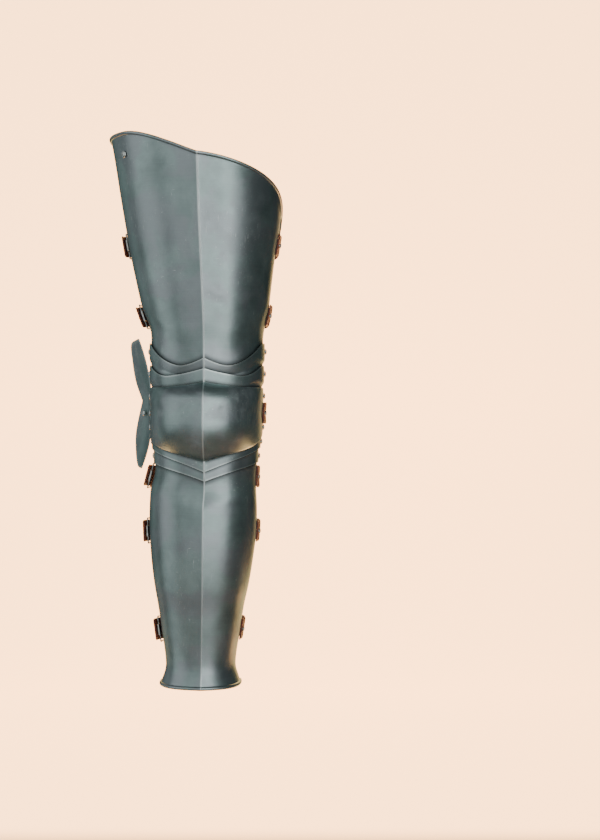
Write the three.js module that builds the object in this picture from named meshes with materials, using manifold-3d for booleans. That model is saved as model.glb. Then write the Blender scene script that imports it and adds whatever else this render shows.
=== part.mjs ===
// Plate leg harness for a right leg: thigh plate, two upper lames, knee plate with its side wing,
// two lower lames and shin plate, with rivets, straps and buckles.
// Millimetres, +Z up, the front of the leg faces -Y, the outer side of the leg is -X.
import * as THREE from 'three';
import { mergeVertices } from 'three/addons/utils/BufferGeometryUtils.js';
import Module from 'manifold-3d';

// Sheet metal
const PLATE = 1.4;
const LAME_GAP = 0.9;
const RIDGE_HEIGHT = 3.2;
const RIDGE_WIDTH = 30;
const ROLL_RADIUS = 2.6;

// Heights, measured from the middle of the knee
const THIGH_HEIGHT = 380;
const THIGH_RIDGE_DROP = 32;
const THIGH_INNER_DROP = 98;
const SHIN_HEIGHT = 378;
const KNEE_PIVOT_UP = 23.8;
const KNEE_PIVOT_DOWN = 19.6;
const UPPER_PITCH = 30.8;
const LOWER_PITCH = 20;
const UPPER_EAR = 11;
const LOWER_EAR = 9;
const EAR_SLACK = 10;
const POLEYN_DROP = 46;

// Half widths from the ridge plane to each side, and depths in front of the pivots
const THIGH_OUTER = 122;
const THIGH_INNER = 112;
const THIGH_DEPTH = 113;
const KNEE_OUTER = 78;
const KNEE_INNER = 77;
const KNEE_DEPTH = 84;
const CALF_OUTER = 78.8;
const CALF_INNER = 71;
const CALF_DEPTH = 77;
const DOME_BULGE = 27;
const DOME_SHARE = 0.86;
const RIM_FLARE = 7;
const THIGH_RIDGE_SHIFT = 8;
const SHIN_RIDGE_SHIFT = 5.6;
const FLARE_LENGTH = 34;
const TURN_LEAST = 2;
const THIGH_TURN = 52;
const SHIN_TURN = 42;

// Wing on the outer side of the knee
const WING_UP = 105;
const WING_DOWN = 78;
const WING_REACH = 57;
const WING_FLARE = 31;
const WING_SHEET = 1.8;
const WING_SINK = 0.6;

// Motion: how far each articulation bends, in degrees
const FLEX = 11;

// Rivets
const RIVET_HEAD = 4.3;
const RIVET_DOME = 2.3;
const RIVET_SHANK = 1.9;
const RIVET_CLEARANCE = 0.3;
const WASHER = 3.6;
const WASHER_THICK = 1;
const HANGING_HEAD = 4.6;
const HANGING_SHARE = 0.6;
const HANGING_DROP = 17;

// Straps and buckles
const STRAP_WIDTH = 30;
const STRAP_THICK = 2.2;
const STRAP_STANDOFF = 3;
const BUCKLE_LENGTH = 21;
const BUCKLE_MARGIN = 3;
const BUCKLE_WIRE = 2.2;
const BUCKLE_CLEARANCE = 2;
const BUCKLE_AHEAD = 2;
const RIVET_SHARE = 1.06;
const WING_STRAP_GAP = 2.2;
const CHAPE_SHEET = 0.9;
const SEAT = 0.3;

const PLATE_POWER = 2.4;
const COLUMNS = 10;
const REAR_SHARE = 1.17;
const RIVET_SIDES = 8;

const degrees = Math.PI / 180;
const clamp = (value) => Math.min(1, Math.max(0, value));
const mix = (a, b, share) => a + (b - a) * share;
const ease = (low, high, value) => {
  const share = clamp((value - low) / (high - low));
  return share * share * (3 - 2 * share);
};
const halfGap = LAME_GAP / 2;
const slide = Math.sin(FLEX * degrees);

const wasm = await Module();
wasm.setup();

const steel = (name, color = 0xa9b3b0) => {
  const material = new THREE.MeshStandardMaterial({ color, roughness: 0.32, metalness: 1 });
  material.name = name;
  return material;
};
const leather = () => {
  const material = new THREE.MeshStandardMaterial({ color: 0x5b3223, roughness: 0.7, metalness: 0 });
  material.name = 'leather';
  return material;
};

// Pivot heights, from the thigh down to the shin
const pivots = [
  KNEE_PIVOT_UP + 2 * UPPER_PITCH,
  KNEE_PIVOT_UP + UPPER_PITCH,
  KNEE_PIVOT_UP,
  -KNEE_PIVOT_DOWN,
  -KNEE_PIVOT_DOWN - LOWER_PITCH,
  -KNEE_PIVOT_DOWN - 2 * LOWER_PITCH,
];

// Each articulation is a wall of revolution about its pivot line. Columns: share of the knee's outer
// and inner half width, how much of the height above or below the pivot draws the wall in (lean),
// and the step in depth that lets the plates run into each other.
const jointShape = [
  { outer: 1.008, inner: 1.02, lean: 1, step: 0 },
  { outer: 1.004, inner: 1.008, lean: 1, step: -1.9 },
  { outer: 1, inner: 0.994, lean: 1, step: 0.9 },
  { outer: 0.994, inner: 0.98, lean: 0.6, step: -0.5 },
  { outer: 0.963, inner: 0.942, lean: 0.6, step: -5 },
  { outer: 0.932, inner: 0.903, lean: 0.6, step: -9.6 },
];
const joints = jointShape.map((row, index) => ({
  pivot: pivots[index],
  outer: KNEE_OUTER * row.outer,
  inner: KNEE_INNER * row.inner,
  depth: KNEE_DEPTH + row.step,
  lean: row.lean,
}));

// Distance from the ridge plane's foot to the wall along a level ray, found by halving.
// share is 0 at the ridge, 1 at the side and more behind it.
const reach = (form, side, share, height, offset) => {
  const angle = (1 - share) * 90 * degrees;
  const half = (side < 0 ? form.outer : form.inner) + offset;
  const depth = form.depth + offset;
  const rise = form.lean * (height - form.pivot);
  let low = 0;
  let high = 2 * Math.max(half, depth);
  for (let turn = 0; turn < 40; turn += 1) {
    const middle = (low + high) / 2;
    const across = middle * Math.cos(angle);
    const crease = RIDGE_HEIGHT * clamp(1 - across / RIDGE_WIDTH) ** 2;
    const radius = Math.max(0, Math.hypot(middle * Math.sin(angle), rise) - crease);
    const inside = (across / half) ** PLATE_POWER + (radius / depth) ** PLATE_POWER < 1;
    if (inside) low = middle;
    else high = middle;
  }
  return low;
};

const place = (distance, side, share, height, ridge) => {
  const angle = (1 - share) * 90 * degrees;
  return [ridge + side * distance * Math.cos(angle), -distance * Math.sin(angle), height];
};

// A row of a table of sections at a height, read with smooth steps between the rows
const sectionAt = (rows, height) => {
  const last = rows.length - 1;
  let index = 0;
  while (index < last - 1 && height < rows[index + 1].height) index += 1;
  const above = rows[index];
  const below = rows[index + 1];
  const share = clamp((above.height - height) / (above.height - below.height));
  const before = rows[Math.max(0, index - 1)];
  const after = rows[Math.min(last, index + 2)];
  const curve = (key) => {
    const span = above.height - below.height;
    const slopeA = ((below[key] - before[key]) / (before.height - below.height)) * span;
    const slopeB = ((after[key] - above[key]) / (above.height - after.height)) * span;
    const s2 = share * share;
    const s3 = s2 * share;
    return (2 * s3 - 3 * s2 + 1) * above[key] + (s3 - 2 * s2 + share) * slopeA
      + (3 * s2 - 2 * s3) * below[key] + (s3 - s2) * slopeB;
  };
  return {
    outer: curve('outer'), inner: curve('inner'), depth: curve('depth'), ridge: curve('ridge'),
    pivot: 0, lean: 0,
  };
};

// Thigh sections. Columns: share of the height from the first pivot to the top, then shares of the
// way from the knee's size to the thigh's size, and share of the ridge's shift.
const firstPivot = pivots[0];
const thighRows = [
  { up: 1, outer: 1.08, inner: 1.04, depth: 1, ridge: 1 },
  { up: 0.9, outer: 0.97, inner: 1, depth: 0.97, ridge: 0.94 },
  { up: 0.73, outer: 0.82, inner: 0.95, depth: 0.88, ridge: 0.78 },
  { up: 0.58, outer: 0.68, inner: 0.82, depth: 0.76, ridge: 0.62 },
  { up: 0.45, outer: 0.56, inner: 0.6, depth: 0.6, ridge: 0.44 },
  { up: 0.25, outer: 0.32, inner: 0.34, depth: 0.33, ridge: 0.18 },
  { up: 0.12, outer: 0.13, inner: 0.18, depth: 0.14, ridge: 0.02 },
  { up: 0, outer: 0, inner: 0.06, depth: 0.02, ridge: 0 },
].map((row) => ({
  height: mix(firstPivot, THIGH_HEIGHT, row.up),
  outer: mix(KNEE_OUTER, THIGH_OUTER, row.outer),
  inner: mix(KNEE_INNER, THIGH_INNER, row.inner),
  depth: mix(KNEE_DEPTH, THIGH_DEPTH, row.depth),
  ridge: -THIGH_RIDGE_SHIFT * row.ridge,
}));

// Shin sections. Columns: share of the height from the last pivot down to the rim, shares of the
// calf's half widths and depth, and share of the ridge's shift.
const lastPivot = pivots[5];
const shinRows = [
  { down: 0.04, outer: 0.965, inner: 0.955, depth: 0.955, ridge: 0 },
  { down: 0.13, outer: 0.985, inner: 0.973, depth: 0.975, ridge: 0.2 },
  { down: 0.24, outer: 1, inner: 1, depth: 1, ridge: 0.3 },
  { down: 0.34, outer: 0.99, inner: 0.99, depth: 0.99, ridge: 0.35 },
  { down: 0.45, outer: 0.955, inner: 0.935, depth: 0.95, ridge: 0.45 },
  { down: 0.56, outer: 0.895, inner: 0.86, depth: 0.89, ridge: 0.54 },
  { down: 0.66, outer: 0.815, inner: 0.772, depth: 0.82, ridge: 0.68 },
  { down: 0.77, outer: 0.742, inner: 0.704, depth: 0.76, ridge: 0.8 },
  { down: 0.885, outer: 0.673, inner: 0.632, depth: 0.71, ridge: 0.9 },
  { down: 1, outer: 0.655, inner: 0.62, depth: 0.71, ridge: 1 },
].map((row) => ({
  height: mix(lastPivot, -SHIN_HEIGHT, row.down),
  outer: CALF_OUTER * row.outer,
  inner: CALF_INNER * row.inner,
  depth: CALF_DEPTH * row.depth,
  ridge: -SHIN_RIDGE_SHIFT * row.ridge,
}));

// Behind the pivots the ears are cut away by as much as they slide at full bend, and a little more
const earCut = (share) => slide * (KNEE_DEPTH + EAR_SLACK) * Math.sin(Math.max(0, share - 1) * 90 * degrees);

// Visible edges, as heights at a share of the way round. A top edge has a small cusp on the ridge,
// dips beside it and climbs to the ear at the side; a bottom edge is a V.
const topEdge = (pivot, ridge, dip, dipAt) => (share) => {
  const ear = pivot + UPPER_EAR;
  const low = pivot + dip * UPPER_PITCH;
  const cusp = (ridge - dip) * UPPER_PITCH * clamp(1 - share / dipAt) ** 1.6;
  return mix(low, ear, ease(dipAt, 0.84, share)) + cusp - earCut(share);
};
const bottomEdge = (pivot, drop, ear, spread, power) => (share) => (
  pivot - ear + earCut(share) - (drop * POLEYN_DROP - ear) * clamp(1 - share / spread) ** power
);
const edges = {
  lame1Top: topEdge(pivots[0], -0.37, -0.7, 0.24),
  lame2Top: topEdge(pivots[1], 0.17, -0.15, 0.4),
  poleynTop: topEdge(pivots[2], 0.575, 0.36, 0.45),
  poleynBottom: bottomEdge(pivots[3], 1, LOWER_EAR, 0.95, 0.85),
  lame3Bottom: bottomEdge(pivots[4], 0.887, LOWER_EAR, 0.9, 1.5),
  lame4Bottom: bottomEdge(pivots[5], 0.727, LOWER_EAR, 0.9, 1.7),
};

// How far a hidden edge runs under its neighbour: the slide at full bend and a little more
const overlap = (share) => 1.2 + slide * (KNEE_DEPTH + 2) * Math.sin(clamp(1 - share) * 90 * degrees);
const under = (edge, pivot, ear, way) => (share) => {
  const tucked = edge(share) - way * overlap(share);
  const beside = pivot - way * (ear - earCut(share));
  return mix(tucked, beside, ease(0.45, 0.82, share));
};
const hidden = {
  thighBottom: under(edges.lame1Top, pivots[0], UPPER_EAR, 1),
  lame1Bottom: under(edges.lame2Top, pivots[1], UPPER_EAR, 1),
  lame2Bottom: under(edges.poleynTop, pivots[2], UPPER_EAR, 1),
  lame3Top: under(edges.poleynBottom, pivots[3], UPPER_EAR, -1),
  lame4Top: under(edges.lame3Bottom, pivots[4], LOWER_EAR, -1),
  shinTop: under(edges.lame4Bottom, pivots[5], LOWER_EAR, -1),
};

// A closed body from an outer and an inner grid of points
const shell = (outer, inner) => {
  const rows = outer.length;
  const columns = outer[0].length;
  const points = [...outer.flat(), ...inner.flat()];
  const faces = [];
  const skip = rows * columns;
  const quad = (a, b, c, d) => faces.push(a, b, c, a, c, d);
  for (let row = 0; row < rows - 1; row += 1) {
    for (let column = 0; column < columns - 1; column += 1) {
      const corner = row * columns + column;
      quad(corner, corner + 1, corner + columns + 1, corner + columns);
      quad(skip + corner, skip + corner + columns, skip + corner + columns + 1, skip + corner + 1);
    }
  }
  for (let column = 0; column < columns - 1; column += 1) {
    const top = (rows - 1) * columns + column;
    quad(column + 1, column, skip + column, skip + column + 1);
    quad(top, top + 1, skip + top + 1, skip + top);
  }
  for (let row = 0; row < rows - 1; row += 1) {
    const left = row * columns;
    const right = left + columns - 1;
    quad(left, left + columns, skip + left + columns, skip + left);
    quad(right + columns, right, skip + right, skip + right + columns);
  }
  return solid(points.flat(), faces);
};

const solid = (positions, faces) => new wasm.Manifold(new wasm.Mesh({
  numProp: 3,
  vertProperties: new Float32Array(positions),
  triVerts: new Uint32Array(faces),
}));

const solidFromGeometry = (geometry) => {
  geometry.deleteAttribute('normal');
  geometry.deleteAttribute('uv');
  const merged = mergeVertices(geometry, 1e-4);
  return solid(merged.attributes.position.array, merged.index.array);
};

const geometryFrom = (body) => {
  const mesh = body.getMesh();
  const geometry = new THREE.BufferGeometry();
  geometry.setAttribute('position', new THREE.BufferAttribute(mesh.vertProperties, 3));
  geometry.setIndex(new THREE.BufferAttribute(mesh.triVerts, 1));
  geometry.computeVertexNormals();
  return geometry;
};

// A plate: wall(side, share, height, layer, column) gives a point, where layer is 1 on the outside
// and 0 on the inside; levels(side, share) lists its heights from bottom to top.
const plateSolid = (levels, wall) => {
  const grid = (layer) => {
    const columns = [];
    for (let column = -COLUMNS; column <= COLUMNS; column += 1) {
      const side = column < 0 ? -1 : 1;
      const share = (Math.abs(column) / COLUMNS) * REAR_SHARE;
      const heights = levels(side, share);
      columns.push(heights.map((height, row) => wall(side, share, height, layer, row, heights.length)));
    }
    return columns[0].map((_, row) => columns.map((points) => points[row]));
  };
  return shell(grid(1), grid(0));
};

// Offset of each layer of a plate that lies over (+1) or under (-1) the wall of an articulation
const layerOffset = (over, layer) => (over > 0 ? halfGap + layer * PLATE : -halfGap - (1 - layer) * PLATE);

// A lame turns from one articulation's wall to the next one's in the band between its two
// neighbours' edges, or in a few millimetres where these cross
const turnBand = (higher, lower) => (share) => ({
  middle: (higher(share) + lower(share)) / 2,
  half: Math.max(TURN_LEAST, (higher(share) - lower(share)) / 2 - earCut(share)),
});
const lame = (upper, lower, upperOver, lowerOver, bottom, top, turn) => {
  const levels = (side, share) => {
    const low = bottom(share);
    const high = top(share);
    const { middle, half } = turn(share);
    return [low, mix(low, middle - half, 0.5), middle - half, middle + half,
      mix(middle + half, high, 0.5), high];
  };
  const wall = (side, share, height, layer) => {
    const { middle, half } = turn(share);
    const blend = ease(middle + half, middle - half, height);
    const above = reach(upper, side, share, height, layerOffset(upperOver, layer));
    const below = reach(lower, side, share, height, layerOffset(lowerOver, layer));
    return place(mix(above, below, blend), side, share, height, 0);
  };
  return plateSolid(levels, wall);
};

// Rolled rims: offsets of the outside over the last few millimetres, as shares of the roll's radius
const ROLL = [
  { back: 2.4, out: 0 },
  { back: 1.9, out: 0.55 },
  { back: 1, out: 1 },
  { back: 0.25, out: 0.6 },
  { back: 0, out: 0.1 },
];

const thighTop = (side, share) => {
  const ridge = THIGH_HEIGHT - THIGH_RIDGE_DROP;
  if (side < 0) return mix(ridge, THIGH_HEIGHT, ease(-0.12, 0.58, share)) - THIGH_RIDGE_DROP
    * ease(-0.12, 0.58, 0) * clamp(1 - share / 0.2) ** 2;
  const fall = (THIGH_INNER_DROP - THIGH_RIDGE_DROP) * Math.min(share, 1.02) ** 1.5;
  return ridge - fall - 26 * ease(1, REAR_SHARE, share) ** 2;
};

// The thigh's wall leaves the first articulation's above the lame; offset is from its outside and
// lift raises only the part that the rim's roll belongs to
const thighWall = (side, share, height, offset, lift = 0) => {
  const start = edges.lame1Top(share);
  const blend = ease(start + TURN_LEAST, start + THIGH_TURN, height);
  const form = sectionAt(thighRows, height);
  const low = reach(joints[0], side, share, Math.min(height, start + 4), offset - halfGap);
  const high = reach(form, side, share, height, offset + lift);
  return place(mix(low, high, blend), side, share, height, form.ridge * blend);
};

// The shin's wall leaves the last articulation's below the lame and flares at the ankle
const shinWall = (side, share, height, offset, lift = 0) => {
  const start = edges.lame4Bottom(share);
  const blend = ease(start - TURN_LEAST, start - SHIN_TURN, height);
  const flare = RIM_FLARE * ease(-SHIN_HEIGHT + FLARE_LENGTH, -SHIN_HEIGHT, height) ** 1.6;
  const form = sectionAt(shinRows, height);
  const high = reach(joints[5], side, share, Math.max(height, start - 30), offset - halfGap);
  const low = reach(form, side, share, height, offset + lift + flare);
  return place(mix(high, low, blend), side, share, height, form.ridge * blend);
};

const cuisseSolid = () => {
  const rows = 9;
  const levels = (side, share) => {
    const low = hidden.thighBottom(share);
    const start = edges.lame1Top(share);
    const top = thighTop(side, share) - ROLL[0].back * ROLL_RADIUS;
    const body = [];
    for (let row = 0; row <= rows; row += 1) body.push(mix(start + 4, top, row / rows));
    return [low, mix(low, start, 0.5), ...body,
      ...ROLL.slice(1).map((rim) => thighTop(side, share) - rim.back * ROLL_RADIUS)];
  };
  const wall = (side, share, height, layer, row, count) => {
    const rim = ROLL[row - (count - ROLL.length)];
    const lift = rim && layer ? rim.out * ROLL_RADIUS : 0;
    return thighWall(side, share, height, layer * PLATE - PLATE, lift);
  };
  return plateSolid(levels, wall);
};

const greaveSolid = () => {
  const rows = 11;
  const bottom = -SHIN_HEIGHT;
  const levels = (side, share) => {
    const top = hidden.shinTop(share);
    const start = Math.min(edges.lame4Bottom(share), top - 4);
    const low = bottom + ROLL[0].back * ROLL_RADIUS;
    const body = [];
    for (let row = 0; row <= rows; row += 1) body.push(mix(low, start - 4, (row / rows) ** 1.15));
    return [...ROLL.slice(1).reverse().map((rim) => bottom + rim.back * ROLL_RADIUS), ...body,
      mix(start, top, 0.5), top];
  };
  const wall = (side, share, height, layer, row) => {
    const rim = row < ROLL.length ? ROLL[ROLL.length - 1 - row] : null;
    const lift = rim && layer ? rim.out * ROLL_RADIUS : 0;
    return shinWall(side, share, height, layer * PLATE - PLATE, lift);
  };
  return plateSolid(levels, wall);
};

// The knee plate's dome swells in front between its two edges and dies out at the sides
const poleynPoint = (side, share, height, offset) => {
  const top = edges.poleynTop(share);
  const bottom = edges.poleynBottom(share);
  const level = clamp((top - height) / (top - bottom));
  const turn = mix(pivots[3], pivots[2], 0.5);
  const blend = ease(pivots[2] - 4, pivots[3] + 4, height);
  const above = reach(joints[2], side, share, height, halfGap + offset);
  const below = reach(joints[3], side, share, height, halfGap + offset);
  const round = (1 - clamp(share / DOME_SHARE) ** 2.5) ** 0.8;
  const swell = Math.sin(Math.PI * level ** 0.9) ** 0.85 * round;
  const point = place(mix(above, below, blend), side, share, height, 0);
  const bulge = DOME_BULGE * swell;
  point[1] -= bulge;
  point[2] += bulge * 0.12 * (height - turn) / UPPER_PITCH;
  return point;
};

const poleynPlate = () => {
  const rows = 12;
  const levels = (side, share) => {
    const list = [];
    const low = edges.poleynBottom(share);
    const high = edges.poleynTop(share);
    for (let row = 0; row <= rows; row += 1) {
      list.push(mix(low, high, 0.5 - 0.5 * Math.cos(Math.PI * row / rows)));
    }
    return list;
  };
  const wall = (side, share, height, layer) => poleynPoint(side, share, height, layer * PLATE);
  return plateSolid(levels, wall);
};

// The wing's rear outline from its lower tip to its upper tip, with the notch between two lobes.
// Columns: share of the reach behind the pivots, share of the height up or down, share of the flare.
const lowerLobe = [
  { back: 0.32, up: -1, out: 0.46 },
  { back: 0.62, up: -0.95, out: 0.66 },
  { back: 0.87, up: -0.72, out: 0.79 },
  { back: 0.89, up: -0.33, out: 0.78 },
  { back: 0.6, up: 0.17, out: 0.44 },
];
const upperLobe = [
  { back: 0.6, up: 0.17, out: 0.44 },
  { back: 0.88, up: 0.44, out: 0.8 },
  { back: 1, up: 0.73, out: 0.98 },
  { back: 0.85, up: 0.94, out: 1 },
  { back: 0.38, up: 1, out: 0.6 },
];
const lobeCurve = (rows) => new THREE.CatmullRomCurve3(rows.map((row) => new THREE.Vector3(
  WING_FLARE * row.out, WING_REACH * row.back, row.up * (row.up < 0 ? WING_DOWN : WING_UP),
)));
const wingRoot = KNEE_OUTER + halfGap + PLATE - WING_SINK;
const wingRootBack = RIVET_HEAD + 1.5;
const wingSwell = (out) => 0.35 * out + 0.65 * out ** 1.8;
const wingSolid = () => {
  const lobes = [lobeCurve(lowerLobe), lobeCurve(upperLobe)];
  const across = 6;
  const along = 6;
  const rootHeight = [-KNEE_PIVOT_DOWN - 0.7 * LOWER_EAR, KNEE_PIVOT_UP + 0.75 * UPPER_EAR];
  const grid = (layer) => {
    const rows = [];
    for (let step = 0; step <= 2 * along; step += 1) {
      const rim = lobes[step < along ? 0 : 1].getPoint(step < along ? step / along : step / along - 1);
      const foot = mix(rootHeight[0], rootHeight[1], step / (2 * along));
      const line = [];
      for (let column = 0; column <= across; column += 1) {
        const out = column / across;
        line.push([-wingRoot - rim.x * wingSwell(out) - layer * WING_SHEET,
          mix(wingRootBack, rim.y, out), mix(foot, rim.z, out)]);
      }
      rows.push(line.reverse());
    }
    return rows;
  };
  return shell(grid(1), grid(0));
};
// The wing's inner face behind the knee, at the valley that runs into its notch
const wingValley = (back) => {
  const notch = upperLobe[0];
  const out = (back - wingRootBack) / (notch.back * WING_REACH - wingRootBack);
  return wingRoot + notch.out * WING_FLARE * wingSwell(out);
};

// Rivets are lathe-turned: domed head outside, shank, washer and peened end inside
const turned = (profile, sides) => {
  const geometry = new THREE.LatheGeometry(profile.map(([r, h]) => new THREE.Vector2(r, h)), sides);
  return geometry.rotateZ(-Math.PI / 2);
};
const rivetSolid = (head, gripLength) => {
  const washerIn = -gripLength - 2 * SEAT;
  return solidFromGeometry(turned([
    [0, washerIn - WASHER_THICK],
    [WASHER, washerIn - WASHER_THICK],
    [WASHER, washerIn],
    [RIVET_SHANK, washerIn],
    [RIVET_SHANK, 0],
    [head, 0],
    [head * 0.72, RIVET_DOME * 0.75],
    [0, RIVET_DOME],
  ], RIVET_SIDES));
};
const boreSolid = (length) => {
  const radius = RIVET_SHANK + RIVET_CLEARANCE;
  const pin = new THREE.CylinderGeometry(radius, radius, length, RIVET_SIDES);
  return solidFromGeometry(pin.rotateZ(-Math.PI / 2));
};
// Axes for a piece that sits on a wall: out of the wall, forward round the leg, and up along it
const axesOn = (out, forward) => {
  const across = new THREE.Vector3().crossVectors(out, forward);
  return { out, forward, across };
};
const settle = (body, x, y, z, position) => {
  const matrix = new THREE.Matrix4().makeBasis(x, y, z).setPosition(...position);
  return body.transform(matrix.elements);
};
// Set a part that points along +X out of a wall
const aim = (body, frame, point) => settle(body, frame.out, frame.forward, frame.across, point);

const plates = {
  cuisse_plate: cuisseSolid(),
  upper_lame_1: lame(joints[0], joints[1], 1, -1, hidden.lame1Bottom, edges.lame1Top,
    turnBand(hidden.thighBottom, edges.lame2Top)),
  upper_lame_2: lame(joints[1], joints[2], 1, -1, hidden.lame2Bottom, edges.lame2Top,
    turnBand(hidden.lame1Bottom, edges.poleynTop)),
  poleyn: poleynPlate().add(wingSolid()),
  lower_lame_1: lame(joints[3], joints[4], -1, 1, edges.lame3Bottom, hidden.lame3Top,
    turnBand(edges.poleynBottom, hidden.lame4Top)),
  lower_lame_2: lame(joints[4], joints[5], -1, 1, edges.lame4Bottom, hidden.lame4Top,
    turnBand(edges.lame3Bottom, hidden.shinTop)),
  greave_plate: greaveSolid(),
};
const rivets = {};
const soft = {};
const buckles = {};

const bore = (names, frame, point, length) => {
  const hole = aim(boreSolid(length), frame, point);
  for (const name of names) plates[name] = plates[name].subtract(hole);
};

// Articulation rivets: each joins the two plates of its pivot on both sides
const pairs = [
  ['cuisse_plate', 'upper_lame_1'], ['upper_lame_1', 'upper_lame_2'], ['upper_lame_2', 'poleyn'],
  ['poleyn', 'lower_lame_1'], ['lower_lame_1', 'lower_lame_2'], ['lower_lame_2', 'greave_plate'],
];
const grip = 2 * PLATE + LAME_GAP;
joints.forEach((joint, index) => {
  for (const [side, label] of [[-1, 'outer'], [1, 'inner']]) {
    const half = side < 0 ? joint.outer : joint.inner;
    const face = half + halfGap + PLATE + SEAT;
    const frame = axesOn(new THREE.Vector3(side, 0, 0), new THREE.Vector3(0, -1, 0));
    bore(pairs[index], frame, [side * half, 0, joint.pivot], 12);
    rivets[`pivot_rivet_${index + 1}_${label}`] = aim(
      rivetSolid(RIVET_HEAD, grip), frame, [side * face, 0, joint.pivot],
    );
  }
});

// The outside of the knee plate, with the other two walls' arguments
const kneeFace = (side, share, height, offset) => poleynPoint(side, share, height, PLATE + offset);

// The wall's own axes at a place on it
const wallFrame = (face, side, share, height) => {
  const at = (turn, rise) => new THREE.Vector3(...face(side, share + turn, height + rise, 0));
  const forward = at(-0.02, 0).sub(at(0.02, 0)).normalize();
  const upward = at(0, 8).sub(at(0, -8)).normalize();
  const out = new THREE.Vector3().crossVectors(forward, upward).multiplyScalar(-side).normalize();
  return axesOn(out, forward);
};

const offFrom = (point, frame, lift, ahead = 0) => [0, 1, 2].map((axis) => (
  point[axis] + frame.out.getComponent(axis) * lift + frame.forward.getComponent(axis) * ahead
));

const riveted = (label, plate, face, side, share, height, head, layers) => {
  const frame = wallFrame(face, side, share, height);
  const spot = face(side, share, height, 0);
  const foot = offFrom(spot, frame, layers + (layers ? 5.3 : 3.4) * SEAT);
  bore([plate], frame, spot, 14);
  rivets[label] = aim(rivetSolid(head, 1.3 * PLATE + layers + (layers ? 5 : 3.4) * SEAT), frame, foot);
  return aim(boreSolid(14), frame, foot);
};

riveted('hanging_rivet', 'cuisse_plate', thighWall, -1, HANGING_SHARE,
  THIGH_HEIGHT - 5 * ROLL_RADIUS - HANGING_DROP, HANGING_HEAD, 0);
riveted('wing_rivet', 'poleyn', kneeFace, -1, 1, 0, RIVET_HEAD, 0);

// The highest strap of the shin leaves its buckle clear of the last lame's ear
const buckleHalf = STRAP_WIDTH / 2 + BUCKLE_MARGIN / 2 + BUCKLE_WIRE;
const calfTopHeight = pivots[5] - LOWER_EAR - BUCKLE_CLEARANCE - buckleHalf;

// Straps: the plate each is riveted to, that plate's wall, and the strap's middle height
const strapRows = [
  { name: 'thigh_upper', plate: 'cuisse_plate', face: thighWall, height: 0.62 * THIGH_HEIGHT },
  { name: 'thigh_lower', plate: 'cuisse_plate', face: thighWall, height: 0.36 * THIGH_HEIGHT },
  { name: 'knee', plate: 'poleyn', face: kneeFace, height: 0, wing: true },
  { name: 'calf_top', plate: 'greave_plate', face: shinWall, height: calfTopHeight },
  { name: 'calf', plate: 'greave_plate', face: shinWall, height: -0.437 * SHIN_HEIGHT },
  { name: 'ankle', plate: 'greave_plate', face: shinWall, height: -0.8 * SHIN_HEIGHT },
];
// Depths of the loops behind the pivots
const strapBacks = {
  thigh_upper: 0.95 * THIGH_DEPTH,
  thigh_lower: 0.9 * THIGH_DEPTH,
  knee: 0.66 * KNEE_DEPTH,
  calf_top: 1.02 * CALF_DEPTH,
  calf: CALF_DEPTH,
  ankle: 0.76 * CALF_DEPTH,
};
const wireCorner = BUCKLE_WIRE / Math.SQRT2 + SEAT;
const chapeLoop = wireCorner + CHAPE_SHEET;
const strapSeat = 2 * SEAT;
const wingStrapBacks = [0.6 * WING_REACH, 0.5 * WING_REACH, 0.4 * WING_REACH];
const rearBar = BUCKLE_AHEAD - BUCKLE_LENGTH / 2;
const frontBar = BUCKLE_AHEAD + BUCKLE_LENGTH / 2;

// Where a buckle lies: its wall's axes, the spot on the wall, and the lift of the frame's middle,
// which clears the wall where that swells out above or below
const buckleSeat = ({ face, height }) => {
  const frame = wallFrame(face, -1, REAR_SHARE, height);
  const foot = new THREE.Vector3(...face(-1, REAR_SHARE, height, 0));
  const swells = [-buckleHalf, buckleHalf].map((rise) => (
    new THREE.Vector3(...face(-1, REAR_SHARE, height + rise, 0)).sub(foot).dot(frame.out)
  ));
  return { frame, foot: foot.toArray(), lift: 3 * SEAT + chapeLoop + Math.max(0, ...swells) };
};

// Points along a strap at one height, lift being the distance from the walls that it lies on:
// over the inner side, round behind the leg, under the rear bar and over the front bar
const strapLine = (row, height, lift) => {
  const { face } = row;
  const back = strapBacks[row.name];
  const points = [];
  for (const share of [0.95, RIVET_SHARE, 1.115]) {
    points.push(face(1, share, height, lift + STRAP_STANDOFF * clamp((share - RIVET_SHARE) * 12) ** 2));
  }
  const inner = face(1, REAR_SHARE, height, lift + STRAP_STANDOFF);
  const outer = face(-1, REAR_SHARE, height, lift);
  const centre = (inner[0] + outer[0]) / 2;
  const width = (inner[0] - outer[0]) / 2;
  const turns = 8;
  for (let step = 0; step < turns; step += 1) {
    const angle = Math.PI * step / turns;
    const across = Math.sign(Math.cos(angle)) * Math.abs(Math.cos(angle)) ** 0.8;
    points.push([centre + width * across, mix(inner[1] + 2, back + lift, Math.sin(angle) ** 0.8), height]);
  }
  if (row.wing) {
    for (const behind of wingStrapBacks) {
      points.push([-(wingValley(behind) - WING_STRAP_GAP - STRAP_THICK + lift), behind, height]);
    }
    return points;
  }
  const seat = buckleSeat(row);
  const { frame } = seat;
  const foot = face(-1, REAR_SHARE, row.height, lift);
  const rise = height - row.height;
  const climb = seat.lift + chapeLoop;
  const dip = seat.lift - BUCKLE_WIRE / 2 - 2 * SEAT - strapSeat - STRAP_THICK;
  const route = [
    [rearBar - 5, dip], [rearBar + 2.6, dip], [frontBar - 3.2, climb], [frontBar + 6, climb],
  ];
  for (const [ahead, off] of route) {
    const point = offFrom(foot, frame, off, ahead);
    points.push(point.map((value, axis) => value + frame.across.getComponent(axis) * rise));
  }
  return points;
};

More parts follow.
